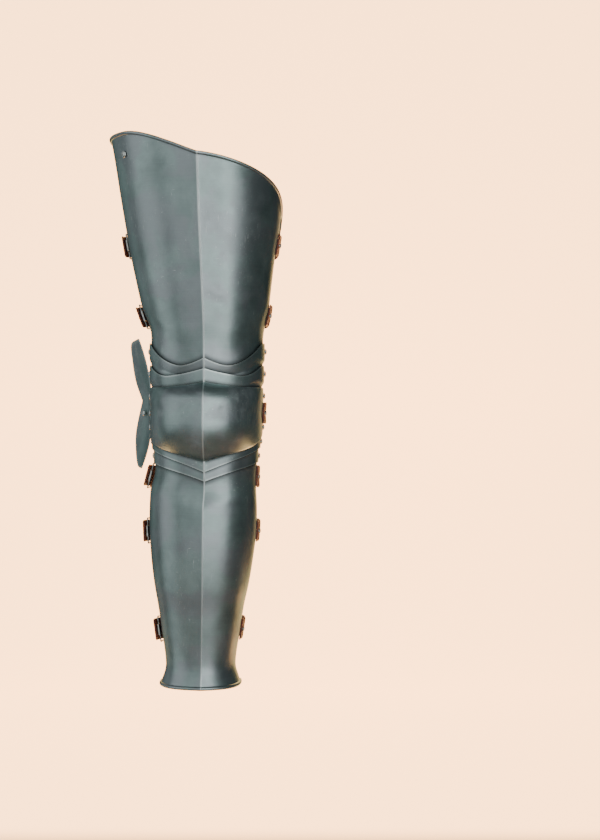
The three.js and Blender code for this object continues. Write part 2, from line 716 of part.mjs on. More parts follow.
const strapSolid = (row) => {
  const grid = (lift) => [-1, 0, 1].map((step) => (
    strapLine(row, row.height + step * STRAP_WIDTH / 2, lift)
  ));
  return shell(grid(strapSeat + STRAP_THICK), grid(strapSeat));
};

// A buckle's frame lies in the plane along its wall; x runs forward, y runs up the leg
const frameSolid = () => {
  const half = buckleHalf;
  const inside = half - BUCKLE_WIRE;
  const bar = BUCKLE_WIRE / 2;
  const corner = 3;
  const ring = new THREE.Shape();
  ring.moveTo(-BUCKLE_LENGTH / 2 - bar, -half + corner);
  ring.lineTo(-BUCKLE_LENGTH / 2 - bar, half - corner);
  ring.lineTo(-BUCKLE_LENGTH / 2 - bar + corner, half);
  ring.lineTo(BUCKLE_LENGTH / 2 + bar, half);
  ring.lineTo(BUCKLE_LENGTH / 2 + bar, -half);
  ring.lineTo(-BUCKLE_LENGTH / 2 - bar + corner, -half);
  const window = new THREE.Path();
  window.moveTo(-BUCKLE_LENGTH / 2 + bar, -inside);
  window.lineTo(BUCKLE_LENGTH / 2 - bar, -inside);
  window.lineTo(BUCKLE_LENGTH / 2 - bar, inside);
  window.lineTo(-BUCKLE_LENGTH / 2 + bar, inside);
  ring.holes.push(window);
  const geometry = new THREE.ExtrudeGeometry(ring, { depth: BUCKLE_WIRE, bevelEnabled: false });
  return solidFromGeometry(geometry.translate(0, 0, -BUCKLE_WIRE / 2));
};

// The chape is a folded steel tab: a loop round the front bar and two layers riveted to the plate
const chapeSolid = () => {
  const tail = BUCKLE_LENGTH * 0.5;
  const outline = new THREE.Shape();
  outline.moveTo(tail, -chapeLoop);
  outline.lineTo(tail, -chapeLoop + 2 * CHAPE_SHEET);
  outline.lineTo(chapeLoop + 1, -chapeLoop + 2 * CHAPE_SHEET);
  outline.absarc(0, 0, chapeLoop, 0, Math.PI * 1.5, false);
  const eye = new THREE.Path();
  eye.absarc(0, 0, wireCorner * 1.05, 0, Math.PI * 2, true);
  outline.holes.push(eye);
  const geometry = new THREE.ExtrudeGeometry(outline, {
    depth: STRAP_WIDTH * 0.5, bevelEnabled: false, curveSegments: 5,
  });
  return solidFromGeometry(geometry.translate(0, 0, -STRAP_WIDTH * 0.25).rotateX(Math.PI / 2));
};

// The knee strap's outer end lies inside the wing and is riveted through it
const fastenToWing = (row) => {
  const [rear, back, fore] = wingStrapBacks;
  const forward = new THREE.Vector3(wingValley(rear) - wingValley(fore), fore - rear, 0).normalize();
  const out = new THREE.Vector3(forward.y, -forward.x, 0);
  const frame = axesOn(out, forward);
  const spot = [-wingValley(back), back, row.height];
  const foot = offFrom(spot, frame, WING_SHEET + 5 * SEAT);
  const hole = aim(boreSolid(20), frame, spot);
  plates.poleyn = plates.poleyn.subtract(hole);
  soft[`strap_${row.name}`] = soft[`strap_${row.name}`].subtract(hole);
  rivets.wing_strap_rivet = aim(
    rivetSolid(RIVET_HEAD, WING_SHEET + STRAP_THICK + WING_STRAP_GAP + 5 * SEAT), frame, foot,
  );
};

for (const row of strapRows) {
  const hole = riveted(`strap_rivet_${row.name}`, row.plate, row.face, 1, RIVET_SHARE, row.height,
    RIVET_HEAD, STRAP_THICK);
  soft[`strap_${row.name}`] = strapSolid(row).subtract(hole);
  if (row.wing) {
    fastenToWing(row);
    continue;
  }
  const { frame, foot, lift } = buckleSeat(row);
  const hold = (body, ahead) => (
    settle(body, frame.forward, frame.across, frame.out, offFrom(foot, frame, lift, ahead))
  );
  buckles[`buckle_${row.name}`] = hold(frameSolid(), BUCKLE_AHEAD);
  buckles[`chape_${row.name}`] = hold(chapeSolid(), frontBar);
}

const part = new THREE.Group();
// The part's origin is the middle of the thigh's opening, level with the lowest point of its rim
const origin = new THREE.Vector3(0, 0, THIGH_HEIGHT - THIGH_INNER_DROP);
const addAll = (bodies, material) => {
  for (const [name, body] of Object.entries(bodies)) {
    const mesh = new THREE.Mesh(geometryFrom(body), material());
    mesh.name = name;
    mesh.position.copy(origin).negate();
    part.add(mesh);
  }
};
addAll(plates, () => steel('plate_steel'));
addAll(rivets, () => steel('rivet_steel', 0xc4c8c4));
addAll(soft, leather);
addAll(buckles, () => steel('buckle_steel', 0xb0b2ae));

export default part;
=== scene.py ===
import math

import bmesh
import bpy
import numpy as np
from mathutils import Matrix, Vector


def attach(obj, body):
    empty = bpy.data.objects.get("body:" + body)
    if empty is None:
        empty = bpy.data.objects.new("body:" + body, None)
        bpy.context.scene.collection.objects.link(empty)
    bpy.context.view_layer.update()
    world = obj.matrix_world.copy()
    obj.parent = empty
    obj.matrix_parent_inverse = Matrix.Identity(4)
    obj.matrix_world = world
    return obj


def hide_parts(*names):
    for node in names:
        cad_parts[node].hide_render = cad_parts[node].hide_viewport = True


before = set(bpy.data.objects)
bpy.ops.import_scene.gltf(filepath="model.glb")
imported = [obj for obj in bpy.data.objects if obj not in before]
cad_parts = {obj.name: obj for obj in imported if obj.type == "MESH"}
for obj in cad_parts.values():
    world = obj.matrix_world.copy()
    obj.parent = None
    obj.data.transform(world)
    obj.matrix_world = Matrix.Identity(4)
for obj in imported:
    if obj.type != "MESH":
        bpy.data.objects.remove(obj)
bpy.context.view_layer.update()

# Sizes in millimetres, with heights from the middle of the knee until ORIGIN_HEIGHT is taken off
MM = 0.001
PLATE = 1.4
HALF_GAP = 0.45
RIDGE_HEIGHT = 3.2
RIDGE_WIDTH = 30.0
ROLL_RADIUS = 2.6
THIGH_HEIGHT = 380.0
THIGH_RIDGE_DROP = 32.0
THIGH_INNER_DROP = 98.0
SHIN_HEIGHT = 378.0
KNEE_PIVOT_UP = 23.8
KNEE_PIVOT_DOWN = 19.6
UPPER_PITCH = 30.8
LOWER_PITCH = 20.0
UPPER_EAR = 11.0
LOWER_EAR = 9.0
EAR_SLACK = 10.0
POLEYN_DROP = 46.0
THIGH_OUTER = 122.0
THIGH_INNER = 112.0
THIGH_DEPTH = 113.0
KNEE_OUTER = 78.0
KNEE_INNER = 77.0
KNEE_DEPTH = 84.0
CALF_OUTER = 78.8
CALF_INNER = 71.0
CALF_DEPTH = 77.0
DOME_BULGE = 27.0
DOME_SHARE = 0.86
RIM_FLARE = 7.0
THIGH_RIDGE_SHIFT = 8.0
SHIN_RIDGE_SHIFT = 5.6
FLARE_LENGTH = 34.0
TURN_LEAST = 2.0
THIGH_TURN = 52.0
SHIN_TURN = 42.0
WING_UP = 105.0
WING_DOWN = 78.0
WING_REACH = 57.0
WING_FLARE = 31.0
WING_SHEET = 1.8
FLEX = 11.0
RIVET_HEAD = 4.3
RIVET_DOME = 2.3
RIVET_SHANK = 1.9
WASHER = 3.6
WASHER_THICK = 1.0
HANGING_HEAD = 4.6
HANGING_SHARE = 0.6
HANGING_DROP = 17.0
STRAP_WIDTH = 30.0
STRAP_THICK = 2.2
STRAP_STANDOFF = 3.0
BUCKLE_LENGTH = 21.0
BUCKLE_MARGIN = 3.0
BUCKLE_WIRE = 2.2
CHAPE_SHEET = 0.9
SEAT = 0.3
PLATE_POWER = 2.4
REAR_SHARE = 1.17
ORIGIN_HEIGHT = THIGH_HEIGHT - THIGH_INNER_DROP
SLIDE = math.sin(math.radians(FLEX))


# Plain maths on whole arrays

def mix(a, b, share):
    """a plus share times the way from a to b."""
    return a + (b - a) * share


def clamp(value):
    return np.clip(value, 0.0, 1.0)


def ease(low, high, value):
    """Smooth step: with t the clamped share from low to high, t squared times (3 - 2t)."""
    share = clamp((value - low) / (high - low))
    return share * share * (3.0 - 2.0 * share)


def join(*parts):
    """Arrays of x, y and z, spread over each other, as one array of points."""
    return np.stack(np.broadcast_arrays(*parts), axis=-1)


# The walls: articulations, thigh and shin

pivots = [KNEE_PIVOT_UP + 2 * UPPER_PITCH, KNEE_PIVOT_UP + UPPER_PITCH, KNEE_PIVOT_UP,
          -KNEE_PIVOT_DOWN, -KNEE_PIVOT_DOWN - LOWER_PITCH, -KNEE_PIVOT_DOWN - 2 * LOWER_PITCH]

# Columns: share of the knee's outer and inner half width, lean, step in depth
JOINT_SHAPE = [(1.008, 1.02, 1.0, 0.0), (1.004, 1.008, 1.0, -1.9), (1.0, 0.994, 1.0, 0.9),
               (0.994, 0.98, 0.6, -0.5), (0.963, 0.942, 0.6, -5.0), (0.932, 0.903, 0.6, -9.6)]
joints = [dict(pivot=pivot, outer=KNEE_OUTER * outer, inner=KNEE_INNER * inner,
               depth=KNEE_DEPTH + step, lean=lean)
          for pivot, (outer, inner, lean, step) in zip(pivots, JOINT_SHAPE)]


def reach(form, side, share, height, offset):
    """Distance from the ridge plane's foot to the wall along a level ray.

    The wall is the superellipse (across/half)^p + (radius/depth)^p = 1, where radius is the
    distance from the pivot line less a small crease at the ridge; the distance is found by
    halving whole arrays forty times.
    """
    angle = (1.0 - share) * math.pi / 2
    half = np.where(side < 0, form["outer"], form["inner"]) + offset
    depth = form["depth"] + offset
    rise = form["lean"] * (height - form["pivot"])
    low = np.zeros(np.broadcast(share, height, half).shape)
    high = low + 2 * THIGH_OUTER
    for _ in range(40):
        middle = (low + high) / 2
        across = middle * np.cos(angle)
        crease = RIDGE_HEIGHT * clamp(1 - across / RIDGE_WIDTH) ** 2
        radius = np.maximum(0.0, np.hypot(middle * np.sin(angle), rise) - crease)
        inside = (across / half) ** PLATE_POWER + (radius / depth) ** PLATE_POWER < 1
        low = np.where(inside, middle, low)
        high = np.where(inside, high, middle)
    return low


def place(distance, side, share, height, ridge):
    """Point at a distance along a level ray: (ridge + side d cos a, -d sin a, height)."""
    angle = (1.0 - share) * math.pi / 2
    return join(ridge + side * distance * np.cos(angle), -distance * np.sin(angle), height)


# Columns: share of the height from the first pivot to the top, shares of the way from the knee's
# size to the thigh's size (outer, inner, depth), share of the ridge's shift
THIGH_ROWS = [(1.0, 1.08, 1.04, 1.0, 1.0), (0.9, 0.97, 1.0, 0.97, 0.94),
              (0.73, 0.82, 0.95, 0.88, 0.78), (0.58, 0.68, 0.82, 0.76, 0.62),
              (0.45, 0.56, 0.6, 0.6, 0.44), (0.25, 0.32, 0.34, 0.33, 0.18),
              (0.12, 0.13, 0.18, 0.14, 0.02), (0.0, 0.0, 0.06, 0.02, 0.0)]
# Columns: share of the height from the last pivot to the rim, shares of the calf's half widths and
# depth, share of the ridge's shift
SHIN_ROWS = [(0.04, 0.965, 0.955, 0.955, 0.0), (0.13, 0.985, 0.973, 0.975, 0.2),
             (0.24, 1.0, 1.0, 1.0, 0.3), (0.34, 0.99, 0.99, 0.99, 0.35),
             (0.45, 0.955, 0.935, 0.95, 0.45), (0.56, 0.895, 0.86, 0.89, 0.54),
             (0.66, 0.815, 0.772, 0.82, 0.68), (0.77, 0.742, 0.704, 0.76, 0.8),
             (0.885, 0.673, 0.632, 0.71, 0.9), (1.0, 0.655, 0.62, 0.71, 1.0)]


def thigh_table():
    """Thigh sections from the top down: each size lies a share of the way from knee to thigh."""
    rows = np.array(THIGH_ROWS)
    return dict(height=mix(pivots[0], THIGH_HEIGHT, rows[:, 0]),
                outer=mix(KNEE_OUTER, THIGH_OUTER, rows[:, 1]),
                inner=mix(KNEE_INNER, THIGH_INNER, rows[:, 2]),
                depth=mix(KNEE_DEPTH, THIGH_DEPTH, rows[:, 3]),
                ridge=-THIGH_RIDGE_SHIFT * rows[:, 4])


def shin_table():
    """Shin sections from the last pivot down: each size is a share of the calf's."""
    rows = np.array(SHIN_ROWS)
    return dict(height=mix(pivots[5], -SHIN_HEIGHT, rows[:, 0]), outer=CALF_OUTER * rows[:, 1],
                inner=CALF_INNER * rows[:, 2], depth=CALF_DEPTH * rows[:, 3],
                ridge=-SHIN_RIDGE_SHIFT * rows[:, 4])


def section_at(table, height):
    """Section at each height: a cubic between rows whose slopes come from the rows either side."""
    levels = table["height"]
    last = len(levels) - 1
    index = np.clip(np.searchsorted(-levels, -height, side="right") - 1, 0, last - 1)
    before = np.maximum(index - 1, 0)
    after = np.minimum(index + 2, last)
    span = levels[index] - levels[index + 1]
    share = clamp((levels[index] - height) / span)
    s2, s3 = share ** 2, share ** 3
    form = dict(pivot=0.0, lean=0.0)
    for key in ("outer", "inner", "depth", "ridge"):
        value = table[key]
        first, second = value[index], value[index + 1]
        slope_a = (second - value[before]) / (levels[before] - levels[index + 1]) * span
        slope_b = (value[after] - first) / (levels[index] - levels[after]) * span
        form[key] = ((2 * s3 - 3 * s2 + 1) * first + (s3 - 2 * s2 + share) * slope_a
                     + (3 * s2 - 2 * s3) * second + (s3 - s2) * slope_b)
    return form


thigh_sections = thigh_table()
shin_sections = shin_table()


# Edges of the plates as heights at a share of the way round

EAR_FROM = 0.84
LEVEL_FROM = 0.45
LEVEL_FULL = 0.82
SLIDE_SPARE = 1.2
SLACK_IN_FRONT = 2.0
RISE_FROM = -0.12
RISE_FULL = 0.58
CUSP_SHARE = 0.2
REAR_SINK = 26.0


def ear_cut(share):
    """How much the ears are cut away behind the pivots, where they slide at full bend."""
    return SLIDE * (KNEE_DEPTH + EAR_SLACK) * np.sin(np.maximum(0.0, share - 1) * math.pi / 2)


def top_edge(pivot, ridge, dip, dip_at):
    """An edge with a cusp on the ridge, a dip beside it and a climb to the ear at the side."""
    def edge(share):
        low = pivot + dip * UPPER_PITCH
        cusp = (ridge - dip) * UPPER_PITCH * clamp(1 - share / dip_at) ** 1.6
        climb = ease(dip_at, EAR_FROM, share)
        return mix(low, pivot + UPPER_EAR, climb) + cusp - ear_cut(share)
    return edge


def bottom_edge(pivot, drop, ear, spread, power):
    """A V: the ridge hangs lowest and the edge rises to the ear by a power of the share left."""
    def edge(share):
        fall = (drop * POLEYN_DROP - ear) * clamp(1 - share / spread) ** power
        return pivot - ear + ear_cut(share) - fall
    return edge


lame_1_top = top_edge(pivots[0], -0.37, -0.7, 0.24)
lame_2_top = top_edge(pivots[1], 0.17, -0.15, 0.4)
poleyn_top = top_edge(pivots[2], 0.575, 0.36, 0.45)
poleyn_bottom = bottom_edge(pivots[3], 1.0, LOWER_EAR, 0.95, 0.85)
lame_3_bottom = bottom_edge(pivots[4], 0.887, LOWER_EAR, 0.9, 1.5)
lame_4_bottom = bottom_edge(pivots[5], 0.727, LOWER_EAR, 0.9, 1.7)


def under(edge, pivot, ear, way):
    """A hidden edge: the neighbour's edge moved by the slide at full bend, level beside the pivot.

    The slide is the sine of the bend times the depth in front of the pivots, and a little more.
    """
    def hidden(share):
        front = np.sin(clamp(1 - share) * math.pi / 2)
        slide = SLIDE_SPARE + SLIDE * (KNEE_DEPTH + SLACK_IN_FRONT) * front
        beside = pivot - way * (ear - ear_cut(share))
        return mix(edge(share) - way * slide, beside, ease(LEVEL_FROM, LEVEL_FULL, share))
    return hidden


thigh_bottom = under(lame_1_top, pivots[0], UPPER_EAR, 1)
lame_1_bottom = under(lame_2_top, pivots[1], UPPER_EAR, 1)
lame_2_bottom = under(poleyn_top, pivots[2], UPPER_EAR, 1)
lame_3_top = under(poleyn_bottom, pivots[3], UPPER_EAR, -1)
lame_4_top = under(lame_3_bottom, pivots[4], LOWER_EAR, -1)
shin_top = under(lame_4_bottom, pivots[5], LOWER_EAR, -1)


# Meshes

MERGE_DISTANCE = 1e-6
CREASE_ANGLE = 50
RIM_FADE = 2.2
# How far under a neighbour's edge the painted shade of a lap stays full
LAP_HIDDEN = 6.0
# Painted shade over the whole inner surface of a plate
INSIDE_PAINTED_SHADE = 0.35
# Share of the way round the leg that takes the painted highlight on the ridge
RIDGE_HIGHLIGHT_SHARE = 0.004


def shade_smooth(mesh):
    """Sets every face of a mesh to smooth shading."""
    mesh.polygons.foreach_set("use_smooth", np.ones(len(mesh.polygons), dtype=bool))


def linked_object(name, points, faces):
    """Smooth object at the origin from points in metres and lists of the faces' corners."""
    mesh = bpy.data.meshes.new(name)
    mesh.from_pydata(points, [], faces)
    mesh.validate()
    piece = bpy.data.objects.new(name, mesh)
    bpy.context.scene.collection.objects.link(piece)
    shade_smooth(mesh)
    return piece


def new_object(name, points, faces):
    """Object from points in millimetres, with heights from the middle of the knee."""
    corners = np.array(points, dtype=float) - np.array([0.0, 0.0, ORIGIN_HEIGHT])
    return linked_object(name, (corners * MM).tolist(), faces)


def merge_close(piece):
    """Merges doubled points at a lathe's poles and turns every face outwards."""
    work = bmesh.new()
    work.from_mesh(piece.data)
    bmesh.ops.remove_doubles(work, verts=work.verts, dist=MERGE_DISTANCE)
    bmesh.ops.recalc_face_normals(work, faces=work.faces)
    work.to_mesh(piece.data)
    work.free()
    shade_smooth(piece.data)


def grid_faces(rows, columns, start=0, flip=False, wrap=False, loop=False):
    """Quads of a grid of points stored row after row.

    wrap joins the last column to the first and loop the last row to the first.
    """
    down = np.arange(rows if loop else rows - 1)
    across = np.arange(columns if wrap else columns - 1)
    row, column = np.meshgrid(down, across, indexing="ij")
    below, after = (row + 1) % rows, (column + 1) % columns
    quads = np.stack([row * columns + column, row * columns + after,
                      below * columns + after, below * columns + column], axis=-1)
    quads = quads.reshape(-1, 4)
    return start + (quads[:, ::-1] if flip else quads)


def shell_faces(rows, columns):
    """Outer grid, inner grid turned over, and the four rims that close them."""
    skip = rows * columns
    faces = [grid_faces(rows, columns), grid_faces(rows, columns, skip, flip=True)]
    low = np.arange(columns - 1)
    high = low + (rows - 1) * columns
    left = np.arange(rows - 1) * columns
    right = left + columns - 1
    faces.append(np.stack([low + 1, low, skip + low, skip + low + 1], axis=-1))
    faces.append(np.stack([high, high + 1, skip + high + 1, skip + high], axis=-1))
    faces.append(np.stack([left, left + columns, skip + left + columns, skip + left], axis=-1))
    faces.append(np.stack([right + columns, right, skip + right, skip + right + columns], axis=-1))
    return np.concatenate(faces).tolist()


def set_float(mesh, name, values):
    """Stores one number for each point, which the materials read by name."""
    attribute = mesh.attributes.new(name, "FLOAT", "POINT")
    attribute.data.foreach_set("value", np.asarray(values, dtype=np.float32).ravel())


def crease_edges(piece, degrees):
    """Marks edges sharper than an angle as sharp, so that rims and the ridge stay crisp."""
    piece.data.set_sharp_from_angle(angle=math.radians(degrees))


def round_the_leg(columns):
    """Each column's side, -1 outer and 1 inner, and its share of the way from ridge to pivot."""
    turn = np.linspace(-1, 1, columns)
    return np.where(turn < 0, -1.0, 1.0), np.abs(turn) * REAR_SHARE


def whole_grid(side, share, height, low, high):
    """The grid that plate_object takes, with side and share repeated for every row."""
    return (np.broadcast_to(side, height.shape), np.broadcast_to(share, height.shape), height,
            low, high)


def plate_grid(bottom, top, count, columns, rim_low=(), rim_high=()):
    """Sides, shares and heights of a plate's grid, with close rows along each rolled rim."""
    side, share = round_the_leg(columns)
    low, high = bottom(side, share), top(side, share)
    first = low + (rim_low[-1] if len(rim_low) else 0.0)
    last = high - (rim_high[-1] if len(rim_high) else 0.0)
    body = [mix(first, last, step) for step in np.linspace(0, 1, count)]
    foot = [low + back for back in rim_low[:-1]]
    head = [high - back for back in rim_high[:-1][::-1]]
    return whole_grid(side, share, np.array(foot + body + head), low, high)


def plate_object(name, grid, wall, cover=None):
    """A closed plate: wall(side, share, height, layer) gives the outer and the inner surface.

    Three values go with each point: edge, one at the plate's own rims and fading over a few
    millimetres, a painted shade, one where a neighbour's edge lies on the plate and casts its
    shadow, with a fixed share of it inside, and ridge, one on the ridge, for a painted highlight.
    cover is that edge, 1 or -1 for which way the plate shows from it, and how far the painted shade
    reaches.
    """
    side, share, height, low, high = grid
    outer = wall(side, share, height, 1)
    inner = wall(side, share, height, 0)
    rows, columns = height.shape
    piece = new_object(name, np.concatenate([outer.reshape(-1, 3), inner.reshape(-1, 3)]),
                       shell_faces(rows, columns))
    near = np.minimum(height - low, high - height)
    edge = clamp(1 - near / RIM_FADE)
    soot = np.zeros(height.shape)
    if cover:
        lying_edge, way, fade = cover
        # Painted shade: full for LAP_HIDDEN under the neighbour's edge, fading over the reach
        # beyond it, where the neighbour's shadow falls
        away = way * (height - lying_edge(share))
        soot = np.where(away < -LAP_HIDDEN, 0.0, clamp(1 - away / fade))
    # Painted highlight: one on the column of points along the ridge
    ridge = (share < RIDGE_HIGHLIGHT_SHARE).astype(float)
    set_float(piece.data, "edge", np.stack([edge, edge]))
    # The inner surface takes a fixed share of painted shade all over.
    set_float(piece.data, "soot", np.stack([soot, np.full(height.shape, INSIDE_PAINTED_SHADE)]))
    set_float(piece.data, "ridge", np.stack([ridge, np.zeros(height.shape)]))
    crease_edges(piece, CREASE_ANGLE)
    return piece


# Rows down each plate and columns round the leg
LAME_GRID = (34, 181)
THIGH_GRID = (120, 201)
SHIN_GRID = (130, 201)
KNEE_GRID = (131, 221)
# How far the painted shade beside a neighbour's edge fades out on the lames, the thigh and the shin
LAME_SHADE_REACH = 5.0
THIGH_SHADE_REACH = 9.0
SHIN_SHADE_REACH = 8.0


def layer_offset(over, layer):
    """Offset of a lame's outer (1) or inner (0) surface over or under its neighbour."""
    return HALF_GAP + layer * PLATE if over > 0 else -HALF_GAP - (1 - layer) * PLATE


def lame_object(name, first, over, bottom, top, band):
    """A narrow plate that turns from one articulation's wall to the next one's.

    over is 1 above the knee and -1 below it: the lame's upper end lies over or under the plate
    above, and its lower end the other way round. The turn from one wall to the other takes place
    between the two neighbours' edges, which are the band.
    """
    higher, lower = band
    sizes = joints[first:first + 2]

    def wall(side, share, height, layer):
        middle = (higher(share) + lower(share)) / 2
        half = np.maximum(TURN_LEAST, (higher(share) - lower(share)) / 2 - ear_cut(share))
        blend = 1 - ease(middle - half, middle + half, height)
        above, below = (reach(size, side, share, height, layer_offset(way, layer))
                        for size, way in zip(sizes, (over, -over)))
        return place(mix(above, below, blend), side, share, height, 0.0)

    grid = plate_grid(lambda side, share: bottom(share), lambda side, share: top(share), *LAME_GRID)
    return plate_object(name, grid, wall, (lower if over > 0 else higher, over, LAME_SHADE_REACH))


def thigh_top(side, share):
    """The thigh's upper rim: high and level outside, falling to the ridge and round the inside."""
    ridge = THIGH_HEIGHT - THIGH_RIDGE_DROP
    start = ease(RISE_FROM, RISE_FULL, 0.0)
    outside = (mix(ridge, THIGH_HEIGHT, ease(RISE_FROM, RISE_FULL, share))
               - THIGH_RIDGE_DROP * start * clamp(1 - share / CUSP_SHARE) ** 2)
    fall = (THIGH_INNER_DROP - THIGH_RIDGE_DROP) * np.minimum(share, 1.02) ** 1.5
    inside = ridge - fall - REAR_SINK * ease(1, REAR_SHARE, share) ** 2
    return np.where(side < 0, outside, inside)


def roll_lift(back):
    """Outward lift of a rolled rim: a half circle over twice its radius, with a small foot."""
    turn = back / ROLL_RADIUS
    bead = np.sqrt(np.maximum(0.0, 1 - (np.minimum(turn, 2.0) - 1) ** 2))
    foot = 0.12 * clamp((2.6 - turn) / 0.8) * (turn > 1.6)
    return ROLL_RADIUS * np.maximum(bead, foot)


# How far back from a rolled rim each of the close rows lies
ROLL_BACKS = np.array([0.0, 0.1, 0.35, 0.8, 1.3, 1.9, 2.6, 3.3, 3.9, 4.4, 4.85, 5.1, 5.2, 5.6, 6.3,
                       7.0])


def thigh_wall(side, share, height, offset, lift=0.0):
    """From the first articulation's wall to the thigh's sections above the lame."""
    start = lame_1_top(share)
    blend = ease(start + TURN_LEAST, start + THIGH_TURN, height)
    form = section_at(thigh_sections, height)
    low = reach(joints[0], side, share, np.minimum(height, start + 4), offset - HALF_GAP)
    high = reach(form, side, share, height, offset + lift)
    return place(mix(low, high, blend), side, share, height, form["ridge"] * blend)


def shin_wall(side, share, height, offset, lift=0.0):
    """From the last articulation's wall to the shin's sections below it, then the ankle's flare."""
    start = lame_4_bottom(share)
    blend = 1 - ease(start - SHIN_TURN, start - TURN_LEAST, height)
    flare = RIM_FLARE * (1 - ease(-SHIN_HEIGHT, -SHIN_HEIGHT + FLARE_LENGTH, height)) ** 1.6
    form = section_at(shin_sections, height)
    high = reach(joints[5], side, share, np.maximum(height, start - 30), offset - HALF_GAP)
    low = reach(form, side, share, height, offset + lift + flare)
    return place(mix(high, low, blend), side, share, height, form["ridge"] * blend)


def cuisse():
    """The thigh plate: its wall with the roll's lift added to the outer surface along the top."""
    grid = plate_grid(lambda side, share: thigh_bottom(share), thigh_top, *THIGH_GRID,
                      rim_high=ROLL_BACKS)

    def wall(side, share, height, layer):
        lift = roll_lift(thigh_top(side, share) - height) if layer else 0.0
        return thigh_wall(side, share, height, layer * PLATE - PLATE, lift)

    return plate_object("thigh_plate", grid, wall, (lame_1_top, 1, THIGH_SHADE_REACH))


def greave():
    """The shin plate: its wall with the roll's lift added to the outer surface along the rim."""
    grid = plate_grid(lambda side, share: share * 0 - SHIN_HEIGHT,
                      lambda side, share: shin_top(share), *SHIN_GRID, rim_low=ROLL_BACKS)

    def wall(side, share, height, layer):
        lift = roll_lift(height + SHIN_HEIGHT) if layer else 0.0
        return shin_wall(side, share, height, layer * PLATE - PLATE, lift)

    return plate_object("shin_plate", grid, wall, (lame_4_bottom, -1, SHIN_SHADE_REACH))


DOME_TURN = 4.0
DOME_SPREAD = 0.12


def poleyn_point(side, share, height, offset):
    """The knee's wall with a dome: a bulge forward by a rounded sine of the way down the plate."""
    top, bottom = poleyn_top(share), poleyn_bottom(share)
    level = clamp((top - height) / (top - bottom))
    blend = 1 - ease(pivots[3] + DOME_TURN, pivots[2] - DOME_TURN, height)
    above = reach(joints[2], side, share, height, HALF_GAP + offset)
    below = reach(joints[3], side, share, height, HALF_GAP + offset)
    point = place(mix(above, below, blend), side, share, height, 0.0)
    rounding = (1 - clamp(share / DOME_SHARE) ** 2.5) ** 0.8
    bulge = DOME_BULGE * np.sin(math.pi * level ** 0.9) ** 0.85 * rounding
    point[..., 1] -= bulge
    point[..., 2] += bulge * DOME_SPREAD * (height - (pivots[2] + pivots[3]) / 2) / UPPER_PITCH
    return point


def knee_shell():
    """The domed knee plate, with rows spaced by a cosine so that they lie close at both edges."""
    rows, columns = KNEE_GRID
    side, share = round_the_leg(columns)
    step = 0.5 - 0.5 * np.cos(np.linspace(0, math.pi, rows))
    low, high = poleyn_bottom(share), poleyn_top(share)
    grid = whole_grid(side, share, low + (high - low) * step[:, None], low, high)
    return plate_object("knee_plate", grid,
                        lambda s, a, h, layer: poleyn_point(s, a, h, layer * PLATE))


# Wing outline: share of the reach behind the pivots, share of the height, share of the flare
LOWER_LOBE = [(0.32, -1.0, 0.46), (0.62, -0.95, 0.66), (0.87, -0.72, 0.79), (0.89, -0.33, 0.78),
              (0.6, 0.17, 0.44)]
UPPER_LOBE = [(0.6, 0.17, 0.44), (0.88, 0.44, 0.8), (1.0, 0.73, 0.98), (0.85, 0.94, 1.0),
              (0.38, 1.0, 0.6)]
WING_SINK = 0.6
WING_ROOT = KNEE_OUTER + HALF_GAP + PLATE - WING_SINK
WING_ROOT_BACK = RIVET_HEAD + 1.5
WING_FOOT_LOW = -KNEE_PIVOT_DOWN - 0.7 * LOWER_EAR
WING_FOOT_HIGH = KNEE_PIVOT_UP + 0.75 * UPPER_EAR
LOBE_STEPS = 61
WING_ACROSS = 41
WING_RIM = 0.06
STRAIGHT_SHARE = 0.35
SWELL_POWER = 1.8


def curve_through(points, count):
    """Catmull-Rom curve through a row of points: a cubic between each two of them.

    Its slope at a point is half the way from the point before to the point after.
    """
    knots = np.concatenate([[2 * points[0] - points[1]], points, [2 * points[-1] - points[-2]]])
    pace = np.linspace(0, len(points) - 1, count)
    index = np.minimum(pace.astype(int), len(points) - 2)
    t = (pace - index)[:, None]
    a, b, c, d = (knots[index + shift] for shift in range(4))
    return 0.5 * (2 * b + (c - a) * t + (2 * a - 5 * b + 4 * c - d) * t ** 2
                  + (3 * b - a - 3 * c + d) * t ** 3)


def lobe_points(rows):
    """One lobe's outline as (flare, distance behind the pivots, height)."""
    return curve_through(np.array([(WING_FLARE * out, WING_REACH * back,
                                    up * (WING_DOWN if up < 0 else WING_UP))
                                   for back, up, out in rows]), LOBE_STEPS)


def wing_swell(out):
    """Share of the flare reached at a share of the way out: a line and a power of it, added."""
    return STRAIGHT_SHARE * out + (1 - STRAIGHT_SHARE) * out ** SWELL_POWER


def wing_shell():
    """Ruled from the knee's side to the outline of two lobes, swelling outwards towards the rim."""
    rim = np.concatenate([lobe_points(LOWER_LOBE)[:-1], lobe_points(UPPER_LOBE)])
    rows, across = len(rim), WING_ACROSS
    foot = mix(WING_FOOT_LOW, WING_FOOT_HIGH, np.linspace(0, 1, rows))
    out = 1 - np.linspace(0, 1, across)[None, :]
    layers = []
    for layer in (1, 0):
        x = -WING_ROOT - rim[:, :1] * wing_swell(out) - layer * WING_SHEET
        y = mix(WING_ROOT_BACK, rim[:, 1:2], out)
        z = mix(foot[:, None], rim[:, 2:3], out)
        layers.append(join(x, y, z).reshape(-1, 3))
    piece = new_object("knee_wing", np.concatenate(layers), shell_faces(rows, across))
    edge = np.broadcast_to(clamp((out - 1 + WING_RIM) / WING_RIM), (rows, across))
    set_float(piece.data, "edge", np.stack([edge, edge]))
    # The wing takes no painted shade.
    set_float(piece.data, "soot", np.zeros(2 * rows * across))
    crease_edges(piece, CREASE_ANGLE)
    return piece


# Shader maths

